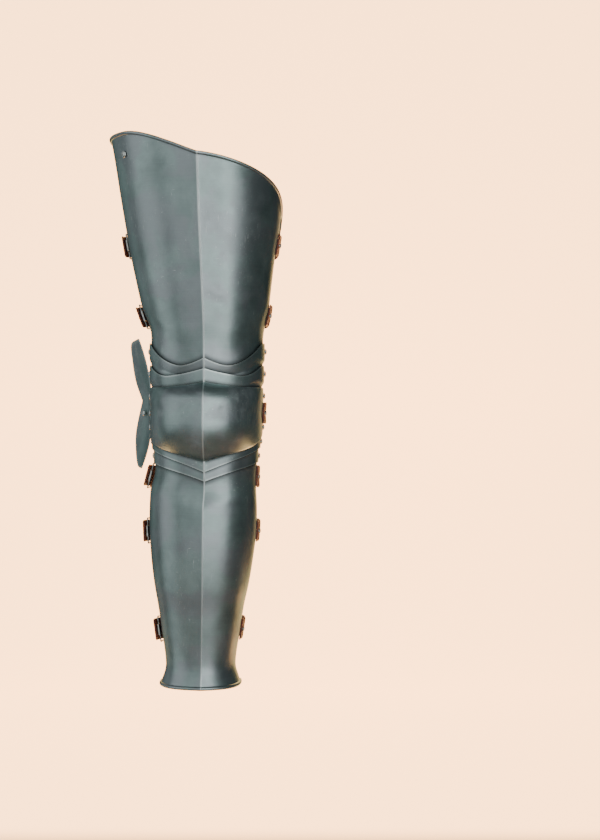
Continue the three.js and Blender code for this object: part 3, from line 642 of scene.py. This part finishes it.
class Sock:
    """A socket with arithmetic: each operation adds one Math node and gives its output."""

    def __init__(self, tree, link):
        self.tree = tree
        self.link = link

    def node(self, kind, settings=None, inputs=None, output=0):
        made = self.tree.nodes.new(kind)
        for key, value in (settings or {}).items():
            setattr(made, key, value)
        for key, value in (inputs or {}).items():
            if isinstance(value, Sock):
                self.tree.links.new(value.link, made.inputs[key])
            else:
                made.inputs[key].default_value = value
        return Sock(self.tree, made.outputs[output])

    def math(self, operation, *values):
        return self.node("ShaderNodeMath", {"operation": operation},
                         dict(enumerate((self,) + values)))

    def __add__(self, other):
        return self.math("ADD", other)

    __radd__ = __add__

    def __sub__(self, other):
        return self.math("SUBTRACT", other)

    def __rsub__(self, other):
        return self.math("MULTIPLY", -1.0).math("ADD", other)

    def __mul__(self, other):
        return self.math("MULTIPLY", other)

    __rmul__ = __mul__

    def __pow__(self, other):
        return self.math("POWER", other)

    def clamped(self):
        return self.node("ShaderNodeClamp", inputs={"Value": self})

    def step(self, low, high):
        """Smooth step from low to high."""
        return self.node("ShaderNodeMapRange", {"interpolation_type": "SMOOTHSTEP"},
                         {"Value": self, "From Min": low, "From Max": high})

    def blend(self, first, second):
        """Colour mixed from first to second by this value."""
        return self.node("ShaderNodeMix", {"data_type": "RGBA"},
                         {0: self, 6: first, 7: second}, 2)


class Finish:
    """A material with one Principled shader, a start for its maths and its bump at the end."""

    def __init__(self, name, **constants):
        self.material = bpy.data.materials.new(name)
        self.material.use_nodes = True
        self.tree = self.material.node_tree
        self.shader = self.tree.nodes["Principled BSDF"]
        for key, value in constants.items():
            self.shader.inputs[key.replace("_", " ")].default_value = value
        self.start = Sock(self.tree, None)

    def node(self, *args, **kwargs):
        return self.start.node(*args, **kwargs)

    def place(self, scale=(1, 1, 1), turn=(0, 0, 0)):
        where = self.node("ShaderNodeTexCoord", output=3)
        return self.node("ShaderNodeMapping",
                         inputs={"Vector": where, "Scale": scale, "Rotation": turn})

    def noise(self, vector, scale, detail=3.0, rough=0.5, distortion=0.0):
        return self.node("ShaderNodeTexNoise",
                         inputs={"Vector": vector, "Scale": scale, "Detail": detail,
                                 "Roughness": rough, "Distortion": distortion})

    def scratches(self, scale, turn, level):
        """Thin streaks: noise stretched along one direction, cut off near its peaks."""
        return self.noise(self.place(scale, turn), 1, 2, 0.5).step(level, level + 0.05)

    def value(self, name):
        return self.node("ShaderNodeAttribute", {"attribute_name": name}, output=2)

    def feed(self, socket, value):
        self.tree.links.new(value.link, self.shader.inputs[socket])

    def bump(self, height, strength, distance):
        return self.node("ShaderNodeBump", inputs={"Height": height, "Strength": strength,
                                                   "Distance": distance})


STEEL_TINT = (0.33, 0.405, 0.40)
STEEL_GLANCE = (0.35, 0.45, 0.44, 1)
MAUVE_GAINS = (1.02, 0.88, 0.95)
SCRATCH_COLOUR = (0.8, 0.84, 0.82, 1)
RIM_COLOUR = (0.72, 0.78, 0.76, 1)
# Colour of the painted shade under a neighbour's edge and inside the plates
PAINTED_SHADE_COLOUR = (0.03, 0.034, 0.033, 1)
# Colour of the painted highlight along the ridge
RIDGE_HIGHLIGHT_COLOUR = (0.95, 1.0, 0.98, 1)
# Columns: scale along each axis, turn, noise level above which a streak shows
SCRATCHES = [((520, 520, 16), (0.5, 0.3, 0.2), 0.685), ((18, 600, 560), (0.3, 0.7, 0.9), 0.685),
             ((540, 20, 560), (0.9, 0.2, 0.4), 0.69)]


def steel_shade(gain, lift=0.0):
    """The plates' tint made lighter or darker by a gain, with a lift towards white."""
    return tuple(lift + gain * part for part in STEEL_TINT) + (1,)


def plate_steel(name, seed, worn=0.0):
    """Satin plate with a green cast.

    Clouds of grey and soft dents, brushing across the leg, patches of fine scratches, a painted
    highlight along the ridge, a bright line along the rims, and painted shade where a neighbour
    lies on the plate and inside it; worn adds the dull scuffs of a plate that is knelt on.
    """
    finish = Finish(name, Metallic=1.0, Specular_Tint=STEEL_GLANCE)
    shifted = finish.node("ShaderNodeMapping", inputs={"Vector": finish.place(),
                                                       "Location": (seed * 0.37, seed * 0.11, 0)})
    cloud = finish.noise(shifted, 13, 5, 0.6)
    blotch = finish.noise(shifted, 45, 4, 0.65, 0.6)
    patch = finish.noise(shifted, 19, 3, 0.55, 0.4)
    grime = finish.noise(shifted, 110, 4, 0.7)
    dents = finish.noise(shifted, 24, 2, 0.4)
    brushing = finish.noise(finish.place((25, 25, 1500)), 1, 3, 0.6)
    fine = finish.noise(shifted, 900, 2, 0.5)
    along, across, aslant = (finish.scratches(*streak) for streak in SCRATCHES)
    scratches = (along + across + aslant) * cloud.step(0.46, 0.6)
    scuffs = blotch.step(0.42, 0.78) * patch.step(0.36, 0.62)
    edge, painted_shade_mask, ridge = (finish.value(value) for value in ("edge", "soot", "ridge"))
    dark, light = steel_shade(0.78), steel_shade(1.16)
    mauve = tuple(gain * part for gain, part in zip(MAUVE_GAINS, STEEL_TINT)) + (1,)
    colour = cloud.step(0.34, 0.66).blend(dark, light)
    colour = (patch.step(0.42, 0.6) * 0.8).blend(colour, mauve)
    colour = (grime.step(0.5, 0.72) * 0.3).blend(colour, dark)
    colour = (brushing.step(0.35, 0.7) * 0.22).blend(colour, light)
    colour = (scuffs * (0.12 + 0.3 * worn)).blend(colour, steel_shade(0.9, 0.25))
    colour = (scratches * 0.55).clamped().blend(colour, SCRATCH_COLOUR)
    colour = (edge * 0.8).clamped().blend(colour, RIM_COLOUR)
    # Painted shade where a neighbour's edge lies and inside the plate
    colour = (painted_shade_mask ** 1.6 * 0.85).clamped().blend(colour, PAINTED_SHADE_COLOUR)
    # Painted highlight along the ridge
    colour = (ridge * 0.95).clamped().blend(colour, RIDGE_HIGHLIGHT_COLOUR)
    finish.feed("Base Color", colour)
    rough = (0.25 + cloud * 0.14 + grime * 0.06 + fine * 0.05 + scratches * 0.12
             + scuffs * (0.1 + 0.15 * worn))
    finish.feed("Roughness", (rough + painted_shade_mask * 0.15 - edge * 0.05 - ridge * 0.08).clamped())
    height = dents + blotch * 0.03 + brushing * 0.035 - scratches * 0.03 + fine * 0.008
    finish.feed("Normal", finish.bump(height, 0.4, 0.0013))
    return finish.material


def bare_steel(name, pattern, fade, dark, light, roughness, relief):
    """Bright small steel: fine marks that change its colour, its roughness and its surface."""
    finish = Finish(name, Metallic=1.0)
    marks = finish.noise(finish.place(), *pattern)
    finish.feed("Base Color", marks.step(0.35, fade).blend(dark, light))
    finish.feed("Roughness", marks * roughness[0] + roughness[1])
    finish.feed("Normal", finish.bump(marks, *relief))
    return finish.material


def strap_leather():
    """Reddish brown belt leather: pebbled grain, paler bends, darker rubbed edges."""
    finish = Finish("strap_leather", Metallic=0.0)
    where = finish.place()
    grain = finish.node("ShaderNodeTexVoronoi", {"feature": "SMOOTH_F1"},
                        {"Vector": where, "Scale": 700})
    pores = finish.noise(where, 1500, 2, 0.6)
    stain = finish.noise(where, 35, 4, 0.6)
    fold = finish.noise(finish.place((600, 600, 40)), 1, 2, 0.5)
    edge = finish.value("edge")
    colour = stain.step(0.3, 0.7).blend((0.13, 0.034, 0.022, 1), (0.29, 0.08, 0.052, 1))
    colour = (edge * 0.8).clamped().blend(colour, (0.075, 0.025, 0.018, 1))
    colour = (fold.step(0.62, 0.75) * 0.35).clamped().blend(colour, (0.34, 0.13, 0.08, 1))
    finish.feed("Base Color", colour)
    finish.feed("Roughness", stain * 0.2 + pores * 0.15 + 0.35)
    height = grain * 0.6 + pores * 0.25 + fold * 0.4
    finish.feed("Normal", finish.bump(height, 0.45, 0.0005))
    return finish.material


# Straps, buckles, chapes and rivets

RIVET_SHARE = 1.06
WIRE_CORNER = BUCKLE_WIRE / math.sqrt(2) + SEAT
CHAPE_LOOP = WIRE_CORNER + CHAPE_SHEET
BUCKLE_HALF = STRAP_WIDTH / 2 + BUCKLE_MARGIN / 2 + BUCKLE_WIRE
BUCKLE_CLEARANCE = 2.0
BUCKLE_AHEAD = 2.0
REAR_BAR = BUCKLE_AHEAD - BUCKLE_LENGTH / 2
FRONT_BAR = BUCKLE_AHEAD + BUCKLE_LENGTH / 2
WING_STRAP_GAP = 2.2
STRAP_SEAT = 2 * SEAT
WING_STRAP_BACKS = (0.6 * WING_REACH, 0.5 * WING_REACH, 0.4 * WING_REACH)
STRAP_END_SHARE = 0.95
STRAP_FREE_SHARE = 1.115
STANDOFF_RATE = 12.0
LOOP_STEPS = 8
LOOP_POWER = 0.8
LOOP_START = 2.0
BEHIND_REAR_BAR = 5.0
PAST_REAR_BAR = 2.6
BEFORE_FRONT_BAR = 3.2
STRAP_TIP = 6.0
STRAP_STEPS = 150
STRAP_ACROSS = 15
STRAP_CREASE_ANGLE = 60
EDGE_ROUNDING = 0.42
ROUND_FROM = 0.93
RUBBED_FROM = 0.82


def knee_face(side, share, height, offset):
    """The outer surface of the knee plate, as the other walls are given."""
    return poleyn_point(side, share, height, PLATE + offset)


# Columns: name, body, face, height, depth of the loop behind the pivots
STRAPS = [("thigh_upper", "cuisse", thigh_wall, 0.62 * THIGH_HEIGHT, 0.95 * THIGH_DEPTH),
          ("thigh_lower", "cuisse", thigh_wall, 0.36 * THIGH_HEIGHT, 0.9 * THIGH_DEPTH),
          ("knee", "poleyn", knee_face, 0.0, 0.66 * KNEE_DEPTH),
          ("calf_top", "greave", shin_wall, pivots[5] - LOWER_EAR - BUCKLE_CLEARANCE - BUCKLE_HALF,
           1.02 * CALF_DEPTH),
          ("calf", "greave", shin_wall, -0.437 * SHIN_HEIGHT, 1.0 * CALF_DEPTH),
          ("ankle", "greave", shin_wall, -0.8 * SHIN_HEIGHT, 0.76 * CALF_DEPTH)]


SHARE_STEP = 0.02
HEIGHT_STEP = 8.0


def spot(face, side, share, height, offset=0.0):
    """One point on a wall."""
    return face(np.array(float(side)), np.array(float(share)), np.array(float(height)), offset)


def wall_frame(face, side, share, height):
    """The wall's own axes: out of it, forward round the leg, and up along it."""
    forward = (spot(face, side, share - SHARE_STEP, height)
               - spot(face, side, share + SHARE_STEP, height))
    upward = (spot(face, side, share, height + HEIGHT_STEP)
              - spot(face, side, share, height - HEIGHT_STEP))
    forward /= np.linalg.norm(forward)
    out = np.cross(forward, upward) * -side
    out /= np.linalg.norm(out)
    return out, forward, np.cross(out, forward)


def buckle_seat(face, level):
    """The wall's axes under a buckle, its spot, and the frame's lift off a wall that swells."""
    axes = wall_frame(face, -1, REAR_SHARE, level)
    foot = spot(face, -1, REAR_SHARE, level)
    swells = [np.dot(spot(face, -1, REAR_SHARE, level + rise) - foot, axes[0])
              for rise in (-BUCKLE_HALF, BUCKLE_HALF)]
    return axes, foot, 3 * SEAT + CHAPE_LOOP + max(0.0, *swells)


def smooth_line(points, count):
    """Evenly spaced points on the curve through a row of points."""
    curve = curve_through(points, 12 * len(points))
    length = np.concatenate([[0], np.cumsum(np.linalg.norm(np.diff(curve, axis=0), axis=1))])
    even = np.linspace(0, length[-1], count)
    return np.stack([np.interp(even, length, curve[:, axis]) for axis in range(3)], axis=-1)


def wing_valley(back):
    """Distance of the wing's inner face from the ridge plane, in the valley up to its notch."""
    share, _, flare = UPPER_LOBE[0]
    out = (back - WING_ROOT_BACK) / (share * WING_REACH - WING_ROOT_BACK)
    return WING_ROOT + flare * WING_FLARE * wing_swell(out)


def strap_line(row, height, lift):
    """Points along a strap at one height: over the inner side, round behind, through the buckle.

    Behind the leg they follow a superellipse: the cosine and the sine of the way round, each to
    the loop's power, times the loop's half width and its depth.
    """
    name, _, face, level, back = row
    points = []
    for share in (STRAP_END_SHARE, RIVET_SHARE, STRAP_FREE_SHARE):
        stand = STRAP_STANDOFF * clamp((share - RIVET_SHARE) * STANDOFF_RATE) ** 2
        points.append(spot(face, 1, share, height, lift + stand))
    inner = spot(face, 1, REAR_SHARE, height, lift + STRAP_STANDOFF)
    outer = spot(face, -1, REAR_SHARE, height, lift)
    centre, width = (inner[0] + outer[0]) / 2, (inner[0] - outer[0]) / 2
    for step in range(LOOP_STEPS):
        angle = math.pi * step / LOOP_STEPS
        across = math.copysign(abs(math.cos(angle)) ** LOOP_POWER, math.cos(angle))
        behind = mix(inner[1] + LOOP_START, back + lift, math.sin(angle) ** LOOP_POWER)
        points.append(np.array([centre + width * across, behind, height]))
    if name == "knee":
        for behind in WING_STRAP_BACKS:
            away = wing_valley(behind) - WING_STRAP_GAP - STRAP_THICK + lift
            points.append(np.array([-away, behind, height]))
        return np.array(points)
    (out, forward, upward), _, frame_lift = buckle_seat(face, level)
    foot = spot(face, -1, REAR_SHARE, level, lift)
    climb = frame_lift + CHAPE_LOOP
    dip = frame_lift - BUCKLE_WIRE / 2 - 2 * SEAT - STRAP_SEAT - STRAP_THICK
    for ahead, off in ((REAR_BAR - BEHIND_REAR_BAR, dip), (REAR_BAR + PAST_REAR_BAR, dip),
                       (FRONT_BAR - BEFORE_FRONT_BAR, climb), (FRONT_BAR + STRAP_TIP, climb)):
        points.append(foot + out * off + forward * ahead + upward * (height - level))
    return np.array(points)


def strap_object(row, material):
    """A belt of leather: the line carried through a section with rounded edges.

    The section goes round the strap: out over its face, round one edge, back, round the other.
    """
    name, body, _, level, _ = row
    ways = np.linspace(-1, 1, STRAP_ACROSS)
    outer, inner = [], []
    for way in ways:
        turn = max(0.0, (abs(way) - ROUND_FROM) / (1 - ROUND_FROM))
        rounding = EDGE_ROUNDING * (1 - math.sqrt(max(0.0, 1 - turn ** 2)))
        height = level + way * STRAP_WIDTH / 2
        line_in = smooth_line(strap_line(row, height, STRAP_SEAT), STRAP_STEPS)
        line_out = smooth_line(strap_line(row, height, STRAP_SEAT + STRAP_THICK), STRAP_STEPS)
        outer.append(mix(line_out, line_in, rounding))
        inner.append(mix(line_in, line_out, rounding))
    points = np.array(outer + inner).reshape(-1, 3)
    piece = new_object(f"belt_{name}", points, shell_faces(STRAP_ACROSS, STRAP_STEPS))
    rubbed = clamp((np.abs(ways) - RUBBED_FROM) / (1 - RUBBED_FROM))
    edge = np.broadcast_to(rubbed[:, None], (STRAP_ACROSS, STRAP_STEPS))
    set_float(piece.data, "edge", np.stack([edge, edge]))
    crease_edges(piece, STRAP_CREASE_ANGLE)
    dress(piece, body, f"strap_{name}", material)


def set_on(points, out, forward, upward, position):
    """Points given along (forward, upward, out) moved to a place on a wall."""
    return position + points[:, :1] * forward + points[:, 1:2] * upward + points[:, 2:3] * out


WIRE_SIDES = 12
WIRE_RADIUS = BUCKLE_WIRE / 2 * 1.04
CORNER_RADIUS = 2.4
CORNER_STEPS = 7
TONGUE_STEPS = 17
TONGUE_RADIUS = 1.05
TONGUE_FLATNESS = 0.8
TONGUE_RISE = 1.6
TONGUE_FALL = 0.9


def wire_ring():
    """The angles round a wire, as one row."""
    return np.linspace(0, 2 * math.pi, WIRE_SIDES + 1)[None, :-1]


def wire_frame(half_on, half_up):
    """A rounded rectangle swept with the wire's section.

    Each point is the path's point plus the wire's radius times the cosine of the way round the
    wire, square to the path, and times its sine out of the wall.
    """
    arc = np.linspace(0, math.pi / 2, CORNER_STEPS)
    path, turns = [], []
    for quarter, (ahead, up) in enumerate(((1, 1), (-1, 1), (-1, -1), (1, -1))):
        angle = arc + quarter * math.pi / 2
        path.append(join(ahead * (half_on - CORNER_RADIUS) + CORNER_RADIUS * np.cos(angle),
                         up * (half_up - CORNER_RADIUS) + CORNER_RADIUS * np.sin(angle)))
        turns.append(angle)
    path, turns = np.concatenate(path), np.concatenate(turns)[:, None]
    ring = wire_ring()
    radial = WIRE_RADIUS * np.cos(ring)
    points = join(path[:, :1] + radial * np.cos(turns), path[:, 1:] + radial * np.sin(turns),
                  WIRE_RADIUS * np.sin(ring))
    quads = grid_faces(len(path), WIRE_SIDES, wrap=True, loop=True)
    return points.reshape(-1, 3), quads[:, [0, 3, 2, 1]].tolist()


def tongue(half_on, start):
    """A flattened rod from the front bar to the rear bar over the strap, closed at both ends."""
    ring = wire_ring()
    along = np.linspace(half_on + WIRE_RADIUS, -half_on - WIRE_RADIUS * 1.2, TONGUE_STEPS)[:, None]
    share = (along - along[0]) / (along[-1] - along[0])
    arch = CHAPE_LOOP + STRAP_THICK + TONGUE_RISE - TONGUE_FALL * share
    arch *= np.where(along > half_on - 1, 0.9, 1.0)
    points = join(along, TONGUE_RADIUS * np.cos(ring),
                  arch + TONGUE_RADIUS * TONGUE_FLATNESS * np.sin(ring))
    first = np.arange(start, start + WIRE_SIDES)
    last = first + (TONGUE_STEPS - 1) * WIRE_SIDES
    sides = grid_faces(TONGUE_STEPS, WIRE_SIDES, start, flip=True, wrap=True).tolist()
    return points.reshape(-1, 3), sides + [first.tolist(), last[::-1].tolist()]


def buckle_object(row, material):
    """A buckle's frame and tongue, set on the wall's own axes."""
    name, body, face, level, _ = row
    (out, forward, upward), foot, frame_lift = buckle_seat(face, level)
    half_on = BUCKLE_LENGTH / 2
    points, faces = wire_frame(half_on, BUCKLE_HALF - BUCKLE_WIRE / 2)
    tongue_points, tongue_faces = tongue(half_on, len(points))
    centre = foot + out * frame_lift + forward * BUCKLE_AHEAD
    placed = set_on(np.concatenate([points, tongue_points]), out, forward, upward, centre)
    piece = new_object(f"frame_{name}", placed, faces + tongue_faces)
    merge_close(piece)
    dress(piece, body, f"buckle_{name}", material)


RIVET_SIDES = 28
DOME_STEPS = 9
HEAD_BRIM = 0.25
BRIM_SHARE = 0.97
HAMMER_LUMPS = 5
HAMMER_TURN = 1.3
RIVET_CREASE_ANGLE = 40


def rivet_object(name, body, node, material, position, out, head, grip, hammer=0.0):
    """A turned rivet: its profile of radius and height pairs carried round the axis.

    Each point is radius times (cosine, sine) of the turn along two directions square to the axis,
    plus the height along it; hammering makes the head's radius swell by a sine of the turn.
    """
    dome = np.linspace(0, math.pi / 2, DOME_STEPS)[1:]
    low = -grip - 2 * SEAT
    profile = [(0.0, low - WASHER_THICK), (WASHER, low - WASHER_THICK), (WASHER, low),
               (RIVET_SHANK, low), (RIVET_SHANK, 0.0), (head * BRIM_SHARE, 0.0), (head, HEAD_BRIM)]
    profile += [(head * math.cos(a), HEAD_BRIM + (RIVET_DOME - HEAD_BRIM) * math.sin(a))
                for a in dome]
    radius, along = np.array(profile).T[..., None]
    turn = np.linspace(0, 2 * math.pi, RIVET_SIDES + 1)[None, :-1]
    first = np.cross(out, np.array([0.0, 0.0, 1.0]))
    first /= np.linalg.norm(first)
    second = np.cross(out, first)
    lumps = 1 + hammer * np.sin(turn * HAMMER_LUMPS + HAMMER_TURN) * (along > 0)
    points = (position + (radius * lumps * np.cos(turn))[..., None] * first
              + (radius * lumps * np.sin(turn))[..., None] * second
              + (along + 0 * turn)[..., None] * out)
    piece = new_object(name, points.reshape(-1, 3),
                       grid_faces(len(profile), RIVET_SIDES, wrap=True).tolist())
    merge_close(piece)
    crease_edges(piece, RIVET_CREASE_ANGLE)
    dress(piece, body, node, material)


def dress(piece, body, node, material):
    """Gives a piece its material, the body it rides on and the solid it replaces."""
    piece.data.materials.append(material)
    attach(piece, body)
    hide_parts(node)


# Build the plates

dress(cuisse(), "cuisse", "cuisse_plate", plate_steel("thigh_steel", 1))
dress(lame_object("lame_above_1", 0, 1, lame_1_bottom, lame_1_top, (thigh_bottom, lame_2_top)),
      "upper_lame_1", "upper_lame_1", plate_steel("lame_steel_1", 2))
dress(lame_object("lame_above_2", 1, 1, lame_2_bottom, lame_2_top, (lame_1_bottom, poleyn_top)),
      "upper_lame_2", "upper_lame_2", plate_steel("lame_steel_2", 3))
knee_steel = plate_steel("knee_steel", 4, worn=1.0)
dress(knee_shell(), "poleyn", "poleyn", knee_steel)
dress(wing_shell(), "poleyn", "poleyn", knee_steel)
dress(lame_object("lame_below_1", 3, -1, lame_3_bottom, lame_3_top, (poleyn_bottom, lame_4_top)),
      "lower_lame_1", "lower_lame_1", plate_steel("lame_steel_3", 5))
dress(lame_object("lame_below_2", 4, -1, lame_4_bottom, lame_4_top, (lame_3_bottom, shin_top)),
      "lower_lame_2", "lower_lame_2", plate_steel("lame_steel_4", 6))
dress(greave(), "greave", "greave_plate", plate_steel("shin_steel", 7))

# Rivets

head_steel = bare_steel("rivet_steel", (420, 2, 0.5), 0.7, (0.5, 0.52, 0.5, 1),
                        (0.82, 0.83, 0.8, 1), (0.2, 0.16), (0.4, 0.0006))
RIVET_BODIES = ["cuisse", "upper_lame_1", "upper_lame_2", "lower_lame_1", "lower_lame_2", "greave"]
for index, joint in enumerate(joints):
    for side, label in ((-1, "outer"), (1, "inner")):
        half = joint["outer"] if side < 0 else joint["inner"]
        face_x = half + HALF_GAP + PLATE + SEAT
        rivet_object(f"pivot_{index + 1}_{label}", RIVET_BODIES[index],
                     f"pivot_rivet_{index + 1}_{label}", head_steel,
                     np.array([side * face_x, 0.0, joint["pivot"]]), np.array([side, 0.0, 0.0]),
                     RIVET_HEAD, 2 * PLATE + 2 * HALF_GAP)

STRAP_SLACK = 5.3 * SEAT
STRAP_GRIP_SLACK = 5.0 * SEAT
BARE_SLACK = 3.4 * SEAT
GRIP_PLATE = 1.3 * PLATE


def wall_rivet(name, body, node, face, side, share, height, head, layers, hammer=0.0):
    """A rivet set square to a wall, over a layer of leather or straight on the plate."""
    out, _, _ = wall_frame(face, side, share, height)
    slack, grip_slack = (STRAP_SLACK, STRAP_GRIP_SLACK) if layers else (BARE_SLACK, BARE_SLACK)
    rivet_object(name, body, node, head_steel,
                 spot(face, side, share, height) + out * (layers + slack), out, head,
                 GRIP_PLATE + layers + grip_slack, hammer)


wall_rivet("hanging_stud", "cuisse", "hanging_rivet", thigh_wall, -1, HANGING_SHARE,
           THIGH_HEIGHT - 5 * ROLL_RADIUS - HANGING_DROP, HANGING_HEAD, 0.0, 0.05)
wall_rivet("wing_stud", "poleyn", "wing_rivet", knee_face, -1, 1.0, 0.0, RIVET_HEAD, 0.0)

belt = strap_leather()
cast_steel = bare_steel("buckle_steel", (300, 3, 0.6), 0.65, (0.42, 0.42, 0.4, 1),
                        (0.74, 0.74, 0.71, 1), (0.25, 0.2), (0.3, 0.0004))
for row in STRAPS:
    name, body, face, level, _ = row
    strap_object(row, belt)
    wall_rivet(f"belt_rivet_{name}", body, f"strap_rivet_{name}", face, 1, RIVET_SHARE, level,
               RIVET_HEAD, STRAP_THICK)
    if name != "knee":
        buckle_object(row, cast_steel)
        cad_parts[f"chape_{name}"].material_slots[0].material = cast_steel

rear, middle_back, fore = WING_STRAP_BACKS
lead = np.array([wing_valley(rear) - wing_valley(fore), fore - rear, 0.0])
lead /= np.linalg.norm(lead)
wing_out = np.array([lead[1], -lead[0], 0.0])
valley = np.array([-wing_valley(middle_back), middle_back, 0.0])
rivet_object("wing_belt_stud", "poleyn", "wing_strap_rivet", head_steel,
             valley + wing_out * (WING_SHEET + STRAP_GRIP_SLACK), wing_out, RIVET_HEAD,
             WING_SHEET + STRAP_THICK + WING_STRAP_GAP + STRAP_GRIP_SLACK)

# Stage, lights and camera; sizes in metres from the frame's origin

STAGE_COLOUR = (1.0, 0.54, 0.24, 1)
FLOOR_COLOUR = (0.30, 0.33, 0.35, 1)
STAGE_GLOW = 5.5
FLOOR_HEIGHT = -1.02
FLOOR_FRONT = -1.4
FLOOR_MIDDLE = 0.2
STAGE_SIDES = (-0.87, 1.12)
SWEEP_BACK = 2.0
SWEEP_RADIUS = 0.8
SWEEP_STEPS = 13
WALL_HEIGHT = 5.0
GLOW_FROM = 0.42
GLOW_FULL = 0.62


def stage():
    """A pale sweep: a floor that turns up into a wall behind, one profile drawn out sideways."""
    turn = np.linspace(0, math.pi / 2, SWEEP_STEPS)
    profile = [(FLOOR_FRONT, 0.0), (FLOOR_MIDDLE, 0.0)]
    profile += [(SWEEP_BACK + SWEEP_RADIUS * math.sin(a), SWEEP_RADIUS - SWEEP_RADIUS * math.cos(a))
                for a in turn]
    profile += [(SWEEP_BACK + SWEEP_RADIUS, WALL_HEIGHT)]
    points = [(x, y, FLOOR_HEIGHT + z) for y, z in profile for x in STAGE_SIDES]
    piece = linked_object("sweep", points, [(2 * i, 2 * i + 1, 2 * i + 3, 2 * i + 2)
                                            for i in range(len(profile) - 1)])
    finish = Finish("sweep_paint", Roughness=0.95)
    where = finish.node("ShaderNodeTexCoord", output=3)
    away = finish.node("ShaderNodeSeparateXYZ", inputs={"Vector": where}, output=1)
    behind = away.step(GLOW_FROM, GLOW_FULL)
    finish.feed("Base Color", behind.blend(FLOOR_COLOUR, STAGE_COLOUR))
    finish.feed("Emission Color", behind.blend((0, 0, 0, 1), STAGE_COLOUR))
    finish.shader.inputs["Emission Strength"].default_value = STAGE_GLOW
    piece.data.materials.append(finish.material)


def area_light(name, position, size, power, colour):
    """A rectangular light of a width and a height, turned to the middle of the leg."""
    lamp = bpy.data.lights.new(name, "AREA")
    lamp.shape = "RECTANGLE"
    lamp.size, lamp.size_y = size
    lamp.energy = power
    lamp.color = colour
    item = bpy.data.objects.new(name, lamp)
    turn = (Vector(LEG_MIDDLE) - Vector(position)).to_track_quat("-Z", "Y")
    item.matrix_world = Matrix.Translation(position) @ turn.to_matrix().to_4x4()
    bpy.context.scene.collection.objects.link(item)


LEG_MIDDLE = (0.0, 0.0, -0.29)
COOL_WHITE = (0.95, 1.0, 1.0)
# Columns: name, position, width and height, watts, colour
LIGHTS = [("key", (1.05, -2.3, 0.3), (1.15, 4.2), 36, (0.97, 1.0, 0.99)),
          ("front", (-0.75, -2.45, 0.3), (1.5, 4.2), 13, COOL_WHITE),
          ("fill", (-2.3, -0.9, 0.3), (2.4, 4.2), 23, COOL_WHITE),
          ("left", (-1.9, 1.5, 0.1), (1.6, 3.4), 6, COOL_WHITE)]
WORLD_COLOUR = (0.8, 0.95, 0.95, 1)
WORLD_STRENGTH = 0.1
SENSOR_HEIGHT = 24
PICTURE_SCALE = 1.4 * MM
PICTURE_HEIGHT = 840
VIEW_DISTANCE = 2.2
VIEW_X = 0.1295
VIEW_Z = -9.8 * MM - ORIGIN_HEIGHT * MM

stage()
for light in LIGHTS:
    area_light(*light)
world = bpy.data.worlds.new("studio")
bpy.context.scene.world = world
world.use_nodes = True
sky = world.node_tree.nodes["Background"]
sky.inputs[0].default_value = WORLD_COLOUR
sky.inputs[1].default_value = WORLD_STRENGTH

camera_data = bpy.data.cameras.new("view")
camera_data.sensor_fit = "VERTICAL"
camera_data.sensor_height = SENSOR_HEIGHT
camera_data.lens = SENSOR_HEIGHT * VIEW_DISTANCE / (PICTURE_HEIGHT * PICTURE_SCALE)
camera = bpy.data.objects.new("view", camera_data)
camera.location = (VIEW_X, -VIEW_DISTANCE, VIEW_Z)
camera.rotation_euler = (math.pi / 2, 0, 0)
bpy.context.scene.collection.objects.link(camera)
bpy.context.scene.camera = camera
